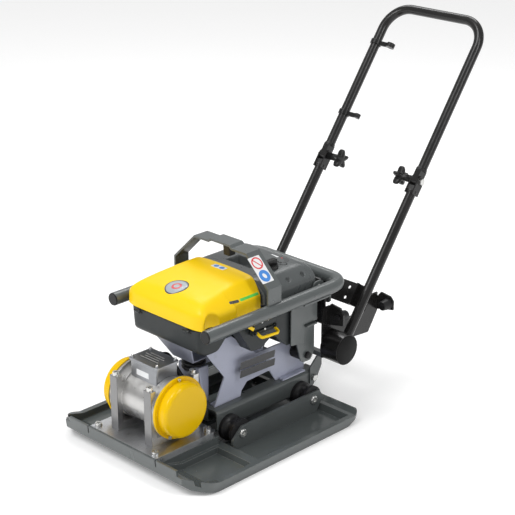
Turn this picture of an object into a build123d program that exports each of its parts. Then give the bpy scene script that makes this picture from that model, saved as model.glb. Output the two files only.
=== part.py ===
from build123d import *
import math
import os

# Battery-electric forward plate compactor, 500 mm wide, as an assembly of separate pieces.
# Frame: X across the machine, -Y to the front (exciter end), +Y to the guide handle, +Z up.
# The origin is the centre of the base plate's sole, on the ground.  All lengths are millimetres.

os.makedirs("parts", exist_ok=True)

# ---------------------------------------------------------------- driving dimensions
BASE_WIDTH = 500.0            # working width
BASE_LENGTH = 560.0
SOLE_FRONT_Y = -205.0         # the flat sole runs between these two
SOLE_REAR_Y = 238.0
RIM_Z = 24.0                  # top of the side rims
FLOOR_Z = 8.0                 # inside floor of the tubs
LIP_Z = 60.0                  # top of the front lip
RIM_WIDTH = 14.0

PLATE_HALF = 116.7            # aluminium exciter plate
PLATE_REAR_Y = -80.0
PLATE_TOP_Z = 61.0
PLATE_THICK = 16.0

EXCITER_Y = -171.0            # exciter shaft axis, along X
EXCITER_Z = 141.0
BARREL_R = 62.0
LEG_X = 59.0                  # centre of each pair of legs
LEG_WIDTH = 24.0
LEG_REACH = 75.0              # leg's outer face, forward and back of the shaft axis
LEG_TOP_Z = 200.0
COVER_R = 67.0
COVER_FLANGE_R = 76.0
COVER_END_X = 112.0
SHAFT_R = 15.0
BEARING_R = 31.0
RUNNING_CLEARANCE = 0.05

CHANNEL_SIDE_X = 96.0         # lower frame channels
CHANNEL_TOP_Z = 94.0
CHANNEL_FRONT_Y = -62.0
CHANNEL_REAR_Y = 284.0
BRACKET_X = 139.0             # inner face of the base plate's side brackets
SPOOL_Z = 44.0                # rubber spools between bracket and channel
SPOOL_YS = (-25.0, 222.0)
SPOOL_R = 33.0

CONSOLE_X = 72.0              # mid-plane of each console side plate
SHEET = 4.0                   # sheet steel of the console and its brackets
TRAY_HALF = 117.0
TRAY_FRONT_Y = -136.0
TRAY_TOP_Z = 330.0
TRAY_FLOOR_Z = 260.0          # underside of the tray's deep front part
TRAY_SHELF_Z = 292.0          # underside of the rest of the tray
TRAY_REAR_Y = 58.0
TRAY_WALL = 3.0
CASE_HALF = 113.0             # electronics case under the controls
CASE_REAR_Y = 256.0
HOUSING_TOP_Z = 397.0         # control housing
HOUSING_BOTTOM_Z = 342.0
HOUSING_HALF = 135.0
HOUSING_FRONT_Y = 60.0
HOUSING_REAR_Y = 246.0
FRONT_MOUNT_Y = -51.0
REAR_MOUNT_Y = 226.0
REAR_MOUNT_Z = 156.0

RAIL_X = 158.5                # guard rail tube
RAIL_Z = 337.0
RAIL_R = 16.0
RAIL_FRONT_Y = -155.0
RAIL_REAR_Y = 316.0
RAIL_BEND_R = 45.0

BAR_FRONT_Y = 44.0            # lifting bar strip
BAR_WIDTH = 44.0
BAR_TOP_Z = 465.0
BAR_THICK = 5.0

HOOD_HALF = 134.0
HOOD_FRONT_Y = -141.0
HOOD_REAR_Y = 56.0
HOOD_BOTTOM_Z = 333.0
HOOD_TOP_Z = 405.0
HOOD_WALL = 3.0
HOOD_HINGE_Y = -143.0
HOOD_HINGE_Z = 325.0

PIVOT_Y = 312.0               # handle pivot axis, along X
PIVOT_Z = 158.0
HANDLE_LEAN = 36.126          # degrees back from vertical at rest
HANDLE_X = 155.5
HANDLE_TUBE_R = 12.5
HANDLE_LENGTH = 905.0         # pivot to the crossbar's centreline
FOLD_AT = 462.0               # pivot to the fold axis, along the tubes
CROSSBAR_BEND_R = 68.0
BARREL_OUT_X = 172.0          # outer face of the pivot barrels
PIVOT_BARREL_R = 39.0

UP_HANDLE = Plane(origin=(0, PIVOT_Y, PIVOT_Z), x_dir=(1, 0, 0),
                  z_dir=(0, math.sin(math.radians(HANDLE_LEAN)), math.cos(math.radians(HANDLE_LEAN))))


def handle_point(x, back, along):
    """A point by its place on the handle: across, behind the tubes' plane, and along them."""
    return UP_HANDLE.from_local_coords(Vector(x, back, along))


def side_plane(x):
    """A sketch plane across the machine: sketch X is Y, sketch Y is Z, normal +X."""
    return Plane.YZ.offset(x)


def save(part, name):
    """Label a finished piece and write its STEP file."""
    part.label = name
    export_step(part, f"parts/{name}.step")


def cap_screw(place, head_r, head_h, shank_r, shank_l):
    """A socket cap screw whose head stands on `place` and whose shank goes down into it."""
    with BuildPart() as screw:
        with BuildSketch(place):
            Circle(head_r)
        extrude(amount=head_h)
        with BuildSketch(place):
            Circle(shank_r)
        extrude(amount=-shank_l)
        with BuildSketch(place.offset(head_h)):
            RegularPolygon(head_r * 0.55, 6)
        extrude(amount=-head_h * 0.5, mode=Mode.SUBTRACT)
    return screw.part


def joined(solids):
    """Several separate solids as one piece of work, left unfused."""
    return Compound(children=list(solids))


# ---------------------------------------------------------------- base plate
half_width = BASE_WIDTH / 2
half_length = BASE_LENGTH / 2
DRAFT = 6.0
sole_half = half_width - RIM_Z * math.tan(math.radians(DRAFT))
front_at_sole = half_length - LIP_Z * math.tan(math.radians(DRAFT))
SCREW_SPREAD_X = 100.0
SCREW_FRONT_Y = -262.0
SCREW_REAR_Y = -98.0
plate_screw_spots = [(sx * SCREW_SPREAD_X, y) for sx in (-1, 1) for y in (SCREW_FRONT_Y, SCREW_REAR_Y)]
PLATE_SCREW_R = 5.0
LEG_SCREW_R = 4.0
COVER_SCREW_R = 2.5
COVER_SCREW_TURNS = (90, 243, 297)
LOBES = 5
LOBE_R = 7.5

with BuildPart() as base_plate:
    with BuildSketch(side_plane(0)):
        Polygon((SOLE_FRONT_Y, 0), (SOLE_REAR_Y, 0), (half_length, 22), (half_length, 32), (262, RIM_Z),
                (-200, RIM_Z), (-250, 38), (-half_length, 46), (-half_length, 30), (-262, 15), align=None)
    extrude(amount=half_width, both=True)
    # pedestal under the exciter plate, and the raised lip in front of it
    with BuildSketch(Plane.XY.offset(20)):
        with Locations((0, -172)):
            Rectangle(2 * PLATE_HALF, 190)
    extrude(amount=PLATE_TOP_Z - PLATE_THICK - 20)
    with BuildSketch(Plane.XY.offset(30)):
        with Locations((0, -half_length + 3)):
            Rectangle(378, 6)
    extrude(amount=LIP_Z - 30)
    # plan outline, with cut front corners
    with BuildSketch(Plane.XY) as plan:
        Polygon((-sole_half, half_length - 2), (sole_half, half_length - 2), (sole_half, -232),
                (203, -front_at_sole), (-203, -front_at_sole), (-sole_half, -232), align=None)
        fillet(plan.vertices().group_by(Axis.Y)[-1], radius=22)
        fillet(plan.vertices().filter_by_position(Axis.Y, -235, -229), radius=42)
    extrude(amount=LIP_Z, taper=-DRAFT, mode=Mode.INTERSECT)
    # rear tub
    with BuildSketch(side_plane(0)):
        Polygon((-70, 70), (-62, FLOOR_Z), (SOLE_REAR_Y + 5, FLOOR_Z), (272, 70), align=None)
    extrude(amount=half_width - RIM_WIDTH, both=True, mode=Mode.SUBTRACT)
    # front side tubs, whose floor rises with the sole
    for side in (-1, 1):
        with BuildSketch(side_plane(side * (half_width - RIM_WIDTH))):
            Polygon((-84, 70), (-92, FLOOR_Z), (SOLE_FRONT_Y, FLOOR_Z), (-256, 27), (-268, 70), align=None)
        extrude(amount=-side * (half_width - RIM_WIDTH - 126), mode=Mode.SUBTRACT)
    # slots in the lip at the exciter plate's corners
    with BuildSketch(Plane.XY.offset(42)):
        with Locations((-119, -half_length + 3), (119, -half_length + 3)):
            Rectangle(4, 12)
    extrude(amount=30, mode=Mode.SUBTRACT)
    with Locations(*[(x, y, PLATE_TOP_Z - PLATE_THICK) for x, y in plate_screw_spots]):
        Hole(PLATE_SCREW_R, depth=22)
save(base_plate.part, "base_plate")

# ---------------------------------------------------------------- side brackets and rubber spools
BRACKET_THICK = 6.0
SPOOL_LENGTH = BRACKET_X - CHANNEL_SIDE_X
SPOOL_STUD_R = 6.0
side_brackets = []
for side in (-1, 1):
    with BuildPart() as side_bracket:
        with BuildSketch(side_plane(side * BRACKET_X)) as outline:
            Polygon((-44, FLOOR_Z), (234, FLOOR_Z), (250, 33), (266, 33), (242, 64), (-27, 62), (-58, 34),
                    (-58, 22), align=None)
            fillet(outline.vertices(), radius=5)
            with Locations(*[(y, SPOOL_Z) for y in SPOOL_YS]):
                Circle(SPOOL_STUD_R, mode=Mode.SUBTRACT)
        extrude(amount=side * BRACKET_THICK)
    side_brackets.append(side_bracket.part.solid())
save(joined(side_brackets), "side_brackets")

spools = []
for side in (-1, 1):
    for y in SPOOL_YS:
        with BuildPart() as spool:
            axis = Plane(origin=(side * CHANNEL_SIDE_X, y, SPOOL_Z), x_dir=(0, 1, 0), z_dir=(side, 0, 0))
            with BuildSketch(Plane(origin=axis.origin, x_dir=axis.z_dir, z_dir=(0, side, 0))):
                with BuildLine():
                    Polyline((SPOOL_LENGTH, SPOOL_STUD_R), (0, SPOOL_STUD_R), (0, SPOOL_R), (9, SPOOL_R))
                    ThreePointArc((9, SPOOL_R), (SPOOL_LENGTH / 2, SPOOL_R - 9), (SPOOL_LENGTH - 9, SPOOL_R))
                    Polyline((SPOOL_LENGTH - 9, SPOOL_R), (SPOOL_LENGTH, SPOOL_R),
                             (SPOOL_LENGTH, SPOOL_STUD_R))
                make_face()
            revolve(axis=Axis(axis.origin, axis.z_dir))
        spools.append(spool.part.solid())
save(joined(spools), "rubber_spools")

spool_screws = []
for side in (-1, 1):
    for y in SPOOL_YS:
        with BuildPart() as screw:
            head = Plane(origin=(side * (BRACKET_X + BRACKET_THICK), y, SPOOL_Z), x_dir=(0, 1, 0),
                         z_dir=(side, 0, 0))
            with BuildSketch(head):
                Circle(11)
            extrude(amount=5)
            fillet(screw.faces().sort_by(Axis.X)[-1 if side > 0 else 0].edges(), radius=3)
            with BuildSketch(head.offset(5)):
                RegularPolygon(5, 6)
            extrude(amount=-3, mode=Mode.SUBTRACT)
            with BuildSketch(head):
                Circle(SPOOL_STUD_R)
            extrude(amount=-(BRACKET_THICK + SPOOL_LENGTH + 14))
            with BuildSketch(head.offset(-(BRACKET_THICK + SPOOL_LENGTH + SHEET))):
                RegularPolygon(10, 6)
            extrude(amount=-9)
        spool_screws.append(screw.part.solid())
save(joined(spool_screws), "spool_screws")

# ---------------------------------------------------------------- lower frame
CHANNEL_DEPTH = 54.0
CHANNEL_FLANGE = 36.0
channels = []
for side in (-1, 1):
    with BuildPart() as channel:
        with BuildSketch(Plane.XZ.offset(-CHANNEL_REAR_Y)) as section:
            with Locations((side * (CHANNEL_SIDE_X - CHANNEL_FLANGE / 2), CHANNEL_TOP_Z - CHANNEL_DEPTH / 2)):
                Rectangle(CHANNEL_FLANGE, CHANNEL_DEPTH)
            outer = section.vertices().group_by(Axis.X)[-1 if side > 0 else 0]
            fillet(outer, radius=9)
        extrude(amount=CHANNEL_REAR_Y - CHANNEL_FRONT_Y)
        with BuildSketch(Plane.XZ.offset(-CHANNEL_REAR_Y)) as hollow:
            with Locations((side * (CHANNEL_SIDE_X - SHEET - CHANNEL_FLANGE / 2),
                            CHANNEL_TOP_Z - CHANNEL_DEPTH / 2)):
                Rectangle(CHANNEL_FLANGE, CHANNEL_DEPTH - 2 * SHEET)
            fillet(hollow.vertices().group_by(Axis.X)[-1 if side > 0 else 0], radius=5)
        extrude(amount=CHANNEL_REAR_Y - CHANNEL_FRONT_Y, mode=Mode.SUBTRACT)
        # the rear end is cut back underneath
        with BuildSketch(side_plane(0)):
            Polygon((CHANNEL_REAR_Y - 26, 30), (CHANNEL_REAR_Y + 2, 30), (CHANNEL_REAR_Y + 2, 66), align=None)
        extrude(amount=side * (CHANNEL_SIDE_X + 2), mode=Mode.SUBTRACT)
        # lug plates that reach down past the lower flange, to carry the spools
        for y in SPOOL_YS:
            with BuildSketch(side_plane(side * (CHANNEL_SIDE_X - SHEET))):
                with Locations((y, SPOOL_Z)):
                    Rectangle(26, 30)
            extrude(amount=-side * 12, mode=Mode.SUBTRACT)
            with BuildSketch(side_plane(side * CHANNEL_SIDE_X)):
                with Locations((y, SPOOL_Z + 2)):
                    RectangleRounded(52, 52, 8)
                with Locations((y, SPOOL_Z)):
                    Circle(SPOOL_STUD_R, mode=Mode.SUBTRACT)
            extrude(amount=-side * SHEET)
            with BuildSketch(side_plane(side * CHANNEL_SIDE_X)):
                with Locations((y, SPOOL_Z)):
                    Circle(SPOOL_STUD_R)
            extrude(amount=-side * SHEET, mode=Mode.SUBTRACT)
    channels.append(channel.part.solid())
save(joined(channels), "channels")

CROSS_HALF = CHANNEL_SIDE_X - CHANNEL_FLANGE
with BuildPart() as cross_members:
    for y in (-44.0, 262.0):
        with BuildSketch(side_plane(0)):
            with Locations((y, 74)):
                RectangleRounded(32, 40, 6)
                RectangleRounded(24, 32, 4, mode=Mode.SUBTRACT)
        extrude(amount=CROSS_HALF, both=True)
save(cross_members.part, "cross_members")

# ---------------------------------------------------------------- console
console_plates = []
for side in (-1, 1):
    with BuildPart() as console_plate:
        with BuildSketch(side_plane(side * CONSOLE_X)) as outline:
            Polygon((-76, 243), (-15, 162), (-49, CHANNEL_TOP_Z), (38, CHANNEL_TOP_Z), (42, 108), (60, 126),
                    (138, 129), (160, CHANNEL_TOP_Z), (262, CHANNEL_TOP_Z), (262, 124), (244, 176),
                    (222, 184), (170, 189), (92, 190), (8, 262), (-18, 262), (-30, 243), align=None)
            sharp = [v for v in outline.vertices() if v.Y > 100 and v.X > -70]
            fillet(sharp, radius=5)
        extrude(amount=SHEET / 2, both=True)
        # bent foot flanges that stand on the channel
        with BuildSketch(Plane.XY.offset(CHANNEL_TOP_Z)):
            with Locations((side * (CONSOLE_X + 9), 210), (side * (CONSOLE_X - 9), -5)):
                Rectangle(18, 80)
        extrude(amount=SHEET)
        with BuildSketch(side_plane(side * (CONSOLE_X + 10))):
            with Locations((REAR_MOUNT_Y, REAR_MOUNT_Z)):
                Circle(5)
        extrude(amount=-side * 20, mode=Mode.SUBTRACT)
    console_plates.append(console_plate.part.solid())
save(joined(console_plates), "console_plates")

PANEL_Y = -58.0
MOUNT_SEAT_Z = 187.0
with BuildPart() as console_front_panel:
    with BuildSketch(Plane.XZ.offset(-PANEL_Y)):
        Polygon((-54, CHANNEL_TOP_Z), (54, CHANNEL_TOP_Z), (54, 120), (40, 150), (34, MOUNT_SEAT_Z),
                (-34, MOUNT_SEAT_Z), (-40, 150), (-54, 120), align=None)
        with Locations((12, 140)):
            Circle(9, mode=Mode.SUBTRACT)
    extrude(amount=SHEET)
    with BuildSketch(Plane.XY.offset(MOUNT_SEAT_Z - SHEET)):
        with Locations((0, -44)):
            Rectangle(68, 28)
    extrude(amount=SHEET)
    for x in (-32, 32):
        with BuildSketch(side_plane(x)):
            Polygon((PANEL_Y, CHANNEL_TOP_Z), (PANEL_Y, MOUNT_SEAT_Z), (-30, MOUNT_SEAT_Z),
                    (-30, CHANNEL_TOP_Z), align=None)
        extrude(amount=SHEET / 2, both=True)
    with Locations((0, FRONT_MOUNT_Y + 6, MOUNT_SEAT_Z)):
        Hole(4)
save(console_front_panel.part, "console_front_panel")

# ---------------------------------------------------------------- rubber mounts of the tray
FRONT_MOUNT_R = 30.0
FRONT_MOUNT_H = 20.0
mount_y = FRONT_MOUNT_Y + 6
with BuildPart() as front_tray_mount:
    with BuildSketch(Plane.XY.offset(MOUNT_SEAT_Z)):
        with Locations((0, mount_y)):
            Circle(FRONT_MOUNT_R)
    extrude(amount=FRONT_MOUNT_H)
    fillet(front_tray_mount.edges().filter_by(GeomType.CIRCLE), radius=3)
    with BuildSketch(Plane.XY.offset(MOUNT_SEAT_Z - 14)):
        with Locations((0, mount_y)):
            Circle(4)
    extrude(amount=14)
save(front_tray_mount.part, "front_tray_mount")

MOUNT_INNER_X = CONSOLE_X + SHEET / 2
BRACKET_PLATE_X = 113.0
rear_mounts = []
for side in (-1, 1):
    with BuildPart() as rear_mount:
        spot = Plane(origin=(side * MOUNT_INNER_X, REAR_MOUNT_Y, REAR_MOUNT_Z), x_dir=(0, 1, 0),
                     z_dir=(side, 0, 0))
        with BuildSketch(spot):
            Circle(18)
        extrude(amount=BRACKET_PLATE_X - MOUNT_INNER_X)
        fillet(rear_mount.edges().filter_by(GeomType.CIRCLE), radius=2.5)
        with BuildSketch(spot):
            Circle(5)
        extrude(amount=-12)
        with BuildSketch(spot):
            Circle(5)
        extrude(amount=BRACKET_PLATE_X - MOUNT_INNER_X + 12)
        with BuildSketch(spot.offset(BRACKET_PLATE_X - MOUNT_INNER_X + SHEET)):
            RegularPolygon(9, 6)
        extrude(amount=7)
    rear_mounts.append(rear_mount.part.solid())
save(joined(rear_mounts), "rear_tray_mounts")

MOUNT_TOP_Z = MOUNT_SEAT_Z + FRONT_MOUNT_H
with BuildPart() as front_mount_bracket:
    with BuildSketch(side_plane(0)):
        Polygon((-80, MOUNT_TOP_Z), (-14, MOUNT_TOP_Z), (-14, MOUNT_TOP_Z + SHEET),
                (-77, MOUNT_TOP_Z + SHEET), (-104, TRAY_FLOOR_Z - SHEET), (-70, TRAY_FLOOR_Z - SHEET),
                (-70, TRAY_FLOOR_Z), (-110, TRAY_FLOOR_Z), align=None)
    extrude(amount=60, both=True)
    # narrower at the mount than at the tray
    with BuildSketch(Plane.XZ):
        Polygon((-60, TRAY_FLOOR_Z), (60, TRAY_FLOOR_Z), (34, MOUNT_TOP_Z), (-34, MOUNT_TOP_Z), align=None)
    extrude(amount=120, both=True, mode=Mode.INTERSECT)
save(front_mount_bracket.part, "front_mount_bracket")

rear_brackets = []
for side in (-1, 1):
    with BuildPart() as rear_bracket:
        with BuildSketch(side_plane(side * BRACKET_PLATE_X)) as outline:
            Polygon((196, 236), (190, 196), (206, 140), (240, 138), (252, 160), (252, 236), align=None)
            fillet([v for v in outline.vertices() if v.Y < 150], radius=14)
            with Locations((REAR_MOUNT_Y, REAR_MOUNT_Z)):
                Circle(5, mode=Mode.SUBTRACT)
        extrude(amount=side * SHEET)
        with BuildSketch(Plane.XY.offset(236)):
            with Locations((side * (BRACKET_PLATE_X + 8), 232)):
                Rectangle(16, 36)
        extrude(amount=SHEET)
    rear_brackets.append(rear_bracket.part.solid())
save(joined(rear_brackets), "rear_mount_brackets")

# ---------------------------------------------------------------- tray, battery and electronics
LATCH_Y = 64.0
HINGE_KNUCKLES_X = (-84.0, 84.0)
HINGE_KNUCKLE_R = 4.0
HINGE_PIN_R = 2.0
KNUCKLE_LENGTH = 24.0


def tray_outline(inset):
    """The tray's side profile, drawn in from its outside by `inset` except at the open top."""
    top = TRAY_TOP_Z + (10 if inset else 0)
    Polygon((TRAY_FRONT_Y + inset, top), (TRAY_FRONT_Y + inset, 276),
            (-113 + inset / 2, TRAY_FLOOR_Z + inset), (-71 - inset / 2, TRAY_FLOOR_Z + inset),
            (-42, TRAY_SHELF_Z + inset), (TRAY_REAR_Y - inset, TRAY_SHELF_Z + inset),
            (TRAY_REAR_Y - inset, top), align=None)


with BuildPart() as tray:
    with BuildSketch(side_plane(0)):
        tray_outline(0)
    extrude(amount=TRAY_HALF, both=True)
    with BuildSketch(side_plane(0)):
        tray_outline(TRAY_WALL)
    extrude(amount=TRAY_HALF - TRAY_WALL, both=True, mode=Mode.SUBTRACT)
    # hinge knuckles on the front wall, a pair for each hood knuckle
    for x in HINGE_KNUCKLES_X:
        for step in (-1, 1):
            with BuildSketch(side_plane(x + step * KNUCKLE_LENGTH - 8)):
                with Locations((HOOD_HINGE_Y, HOOD_HINGE_Z)):
                    Circle(HINGE_KNUCKLE_R)
                with Locations((TRAY_FRONT_Y - 3.5, HOOD_HINGE_Z - 2)):
                    Rectangle(7, 4)
                with Locations((HOOD_HINGE_Y, HOOD_HINGE_Z)):
                    Circle(HINGE_PIN_R + RUNNING_CLEARANCE, mode=Mode.SUBTRACT)
            extrude(amount=16)
save(tray.part, "tray")

BATTERY_TOP_Z = 378.0
BATTERY_Y = -26.0
with BuildPart() as battery_pack:
    with BuildSketch(Plane.XY.offset(TRAY_SHELF_Z + TRAY_WALL)):
        with Locations((0, BATTERY_Y)):
            RectangleRounded(208, 144, 12)
    extrude(amount=BATTERY_TOP_Z - TRAY_SHELF_Z - TRAY_WALL)
    fillet(battery_pack.faces().sort_by(Axis.Z)[-1].edges(), radius=6)
    # grip recess across the top, with a bar left over it
    with BuildSketch(Plane.XY.offset(BATTERY_TOP_Z)):
        with Locations((0, BATTERY_Y)):
            RectangleRounded(120, 60, 10)
    extrude(amount=-28, mode=Mode.SUBTRACT)
    with BuildSketch(side_plane(0)):
        with Locations((BATTERY_Y, BATTERY_TOP_Z - 9)):
            RectangleRounded(20, 14, 6)
    extrude(amount=62, both=True)
save(battery_pack.part, "battery_pack")

with BuildPart() as electronics_case:
    with BuildSketch(side_plane(0)) as outline:
        Polygon((-6, TRAY_SHELF_Z), (36, 226), (68, 223), (102, 242), (114, 242), (158, 202), (208, 202),
                (CASE_REAR_Y, 234), (CASE_REAR_Y, HOUSING_BOTTOM_Z - 1),
                (HOUSING_FRONT_Y, HOUSING_BOTTOM_Z - 1), (HOUSING_FRONT_Y, TRAY_SHELF_Z), align=None)
        fillet([v for v in outline.vertices() if v.Y < 245], radius=5)
    extrude(amount=CASE_HALF, both=True)
    # cavity for the inverter, open at the top
    with BuildSketch(Plane.XY.offset(HOUSING_BOTTOM_Z)):
        with Locations((0, 158)):
            RectangleRounded(2 * 104, 178, 8)
    extrude(amount=-94, mode=Mode.SUBTRACT)
    # slots that clear the console's side plates
    with BuildSketch(Plane.XY.offset(210)):
        with Locations((-CONSOLE_X, 36), (CONSOLE_X, 36)):
            Rectangle(10, 56)
    extrude(amount=58, mode=Mode.SUBTRACT)
save(electronics_case.part, "electronics_case")

with BuildPart() as inverter:
    with BuildSketch(Plane.XY.offset(HOUSING_BOTTOM_Z - 94)):
        with Locations((0, 158)):
            RectangleRounded(170, 140, 5)
    extrude(amount=52)
    # cooling fins
    fin_count = 12
    fin_pitch = 160 / (fin_count - 1)
    with BuildSketch(Plane.XY.offset(HOUSING_BOTTOM_Z - 42)):
        with Locations((0, 158)):
            with GridLocations(fin_pitch, 1, fin_count, 1):
                Rectangle(3, 130)
    extrude(amount=22)
save(inverter.part, "inverter")

# ---------------------------------------------------------------- control housing
BEVEL_X = 102.0
BEVEL_Z = 366.0
KNOB_X = 72.0
KNOB_Y = 143.0
SWITCH_STEM_R = 7.0
HOUSING_WALL = 3.0
POCKET_HALF = 40.0
POCKET_Y = 126.0
POCKET_LENGTH = 40.0
POCKET_CORNER_R = 8.0
POCKET_DEPTH = 22.0


def housing_section(inset):
    """The control housing across the machine: flat top, bevelled shoulders, open underneath."""
    bottom = HOUSING_BOTTOM_Z - (5 if inset else 0)
    Polygon((-HOUSING_HALF + inset, bottom), (-HOUSING_HALF + inset, BEVEL_Z - inset / 2),
            (-BEVEL_X + inset / 2, HOUSING_TOP_Z - inset), (BEVEL_X - inset / 2, HOUSING_TOP_Z - inset),
            (HOUSING_HALF - inset, BEVEL_Z - inset / 2), (HOUSING_HALF - inset, bottom), align=None)


with BuildPart() as control_housing:
    with BuildSketch(Plane.XZ.offset(-HOUSING_REAR_Y)):
        housing_section(0)
    extrude(amount=HOUSING_REAR_Y - HOUSING_FRONT_Y)
    chamfer(control_housing.faces().sort_by(Axis.Y)[-1].edges().sort_by(Axis.Z)[-1], length=14, length2=26)
    with BuildSketch(Plane.XZ.offset(-HOUSING_REAR_Y + HOUSING_WALL)):
        housing_section(HOUSING_WALL)
    extrude(amount=HOUSING_REAR_Y - HOUSING_FRONT_Y - 2 * HOUSING_WALL - 24, mode=Mode.SUBTRACT)
    with BuildSketch(Plane.XZ.offset(-HOUSING_FRONT_Y - 60)):
        housing_section(HOUSING_WALL)
    extrude(amount=60 - HOUSING_WALL, mode=Mode.SUBTRACT)
    # hand pocket behind the lifting bar
    with BuildSketch(Plane.XY.offset(HOUSING_TOP_Z - POCKET_DEPTH - HOUSING_WALL)):
        with Locations((0, POCKET_Y)):
            Rectangle(2 * POCKET_HALF + 2 * HOUSING_WALL, POCKET_LENGTH + 2 * HOUSING_WALL)
    extrude(amount=POCKET_DEPTH + HOUSING_WALL)
    with BuildSketch(Plane.XY.offset(HOUSING_TOP_Z - POCKET_DEPTH)):
        with Locations((0, POCKET_Y)):
            RectangleRounded(2 * POCKET_HALF, POCKET_LENGTH, POCKET_CORNER_R)
    extrude(amount=POCKET_DEPTH + 2, mode=Mode.SUBTRACT)
    # stem hole of the rotary switch
    with Locations((KNOB_X, KNOB_Y, HOUSING_TOP_Z)):
        Hole(SWITCH_STEM_R + RUNNING_CLEARANCE, depth=10)
save(control_housing.part, "control_housing")

PANEL_X = 30.0
CONTROL_PANEL_Y = 190.0
with BuildPart() as control_panel:
    with BuildSketch(Plane.XY.offset(HOUSING_TOP_Z)):
        with Locations((PANEL_X, CONTROL_PANEL_Y)):
            RectangleRounded(92, 44, 14)
    extrude(amount=1.5)
save(control_panel.part, "control_panel")

KNOB_R = 19.0
KNOB_H = 20.0
with BuildPart() as rotary_switch:
    with BuildSketch(Plane.XY.offset(HOUSING_TOP_Z + 0.5)):
        with Locations((KNOB_X, KNOB_Y)):
            Circle(KNOB_R)
    extrude(amount=KNOB_H, taper=4)
    fillet(rotary_switch.edges().sort_by(Axis.Z)[-1], radius=2.5)
    # grip flats leave a finger bar across the top
    with BuildSketch(Plane.XY.offset(HOUSING_TOP_Z + KNOB_H * 0.45)):
        with Locations((KNOB_X - 13, KNOB_Y), (KNOB_X + 13, KNOB_Y)):
            Rectangle(14, 2 * KNOB_R + 2)
    extrude(amount=KNOB_H, mode=Mode.SUBTRACT)
    with BuildSketch(Plane.XY.offset(HOUSING_TOP_Z + 1)):
        with Locations((KNOB_X, KNOB_Y)):
            Circle(SWITCH_STEM_R)
    extrude(amount=-14)
save(rotary_switch.part, "rotary_switch")

# ---------------------------------------------------------------- hood and its latches


def hood_solid(inset, low):
    """The hood's closed body down to `low`, drawn in from its outside by `inset`."""
    half = HOOD_HALF - inset
    with BuildPart() as body:
        with BuildSketch(side_plane(0)):
            with BuildLine():
                Polyline((-95, 392), (-141, 350), (-141, low), (HOOD_REAR_Y, low), (HOOD_REAR_Y, HOOD_TOP_Z))
                ThreePointArc((HOOD_REAR_Y, HOOD_TOP_Z), (-20, 401), (-95, 392))
            make_face()
            if inset:
                offset(amount=-inset)
        extrude(amount=half, both=True)
        with BuildSketch(Plane.XZ):
            with BuildLine():
                ThreePointArc((-100, 400), (0, HOOD_TOP_Z), (100, 400))
                Polyline((100, 400), (HOOD_HALF, 366), (HOOD_HALF, low), (-HOOD_HALF, low), (-HOOD_HALF, 366),
                         (-100, 400))
            make_face()
            if inset:
                offset(amount=-inset)
        extrude(amount=400, both=True, mode=Mode.INTERSECT)
        with BuildSketch(Plane.XY.offset(low)) as plan:
            Polygon((-half, HOOD_REAR_Y - inset), (half, HOOD_REAR_Y - inset), (half, HOOD_FRONT_Y + inset),
                    (-half, HOOD_FRONT_Y + inset), align=None)
            fillet(plan.vertices().group_by(Axis.Y)[0], radius=24 - inset)
            fillet(plan.vertices().group_by(Axis.Y)[-1], radius=25 - inset)
        extrude(amount=120, mode=Mode.INTERSECT)
        # the rear half of each side is set in above the latch
        for side in (-1, 1):
            with BuildSketch(side_plane(side * (half + 2))):
                Polygon((-22 - inset, low - 1), (HOOD_REAR_Y + 2, low - 1), (HOOD_REAR_Y + 2, 358 + inset),
                        (-32 - inset, 358 + inset), align=None)
            extrude(amount=-side * 12, mode=Mode.SUBTRACT)
    return body.part


hood_outside = hood_solid(0, HOOD_BOTTOM_Z)
hood_inside = hood_solid(HOOD_WALL, HOOD_BOTTOM_Z - 10)
with BuildPart() as hood:
    add(hood_outside)
    add(hood_inside, mode=Mode.SUBTRACT)
    # hinge knuckles and their pins, which turn in the tray's knuckles
    for x in HINGE_KNUCKLES_X:
        with BuildSketch(side_plane(x - 7.5)):
            with Locations((HOOD_HINGE_Y, HOOD_HINGE_Z)):
                Circle(HINGE_KNUCKLE_R)
            Polygon((HOOD_HINGE_Y - 1, HOOD_HINGE_Z), (HOOD_HINGE_Y + 4, HOOD_HINGE_Z),
                    (HOOD_FRONT_Y + HOOD_WALL, HOOD_BOTTOM_Z + 12), (HOOD_FRONT_Y + 1, HOOD_BOTTOM_Z + 12),
                    align=None)
        extrude(amount=15)
        with BuildSketch(side_plane(x - KNUCKLE_LENGTH - 8)):
            with Locations((HOOD_HINGE_Y, HOOD_HINGE_Z)):
                Circle(HINGE_PIN_R)
        extrude(amount=2 * KNUCKLE_LENGTH + 16)
save(hood.part, "hood")

LATCH_HALF = 36.0
LATCH_OUT_X = 131.0
LEVER_X = 131.5
LEVER_Z = 281.0
LEVER_PIN_R = 2.5
latches = []
for side in (-1, 1):
    with BuildPart() as latch_body:
        with BuildSketch(Plane.XZ.offset(-(LATCH_Y + LATCH_HALF))):
            Polygon((side * TRAY_HALF, 329), (side * LATCH_OUT_X, 322), (side * LATCH_OUT_X, 288),
                    (side * (TRAY_HALF + 6), 268), (side * TRAY_HALF, 268), align=None)
        extrude(amount=2 * LATCH_HALF)
        fillet(latch_body.edges().filter_by(Axis.X).group_by(Axis.Z)[0], radius=6)
        with BuildSketch(Plane.XZ.offset(-(LATCH_Y + LATCH_HALF))):
            with Locations((side * LEVER_X, LEVER_Z)):
                Circle(5.2)
        extrude(amount=2 * LATCH_HALF, mode=Mode.SUBTRACT)
        # trunnions that carry the lever's pin ends
        for y in (LATCH_Y - LATCH_HALF, LATCH_Y + LATCH_HALF - 4):
            with BuildSketch(Plane.XZ.offset(-(y + 4))):
                with Locations((side * LEVER_X, LEVER_Z)):
                    Circle(5.2)
                    Circle(LEVER_PIN_R + RUNNING_CLEARANCE, mode=Mode.SUBTRACT)
            extrude(amount=4)
    latches.append(latch_body.part.solid())
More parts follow.
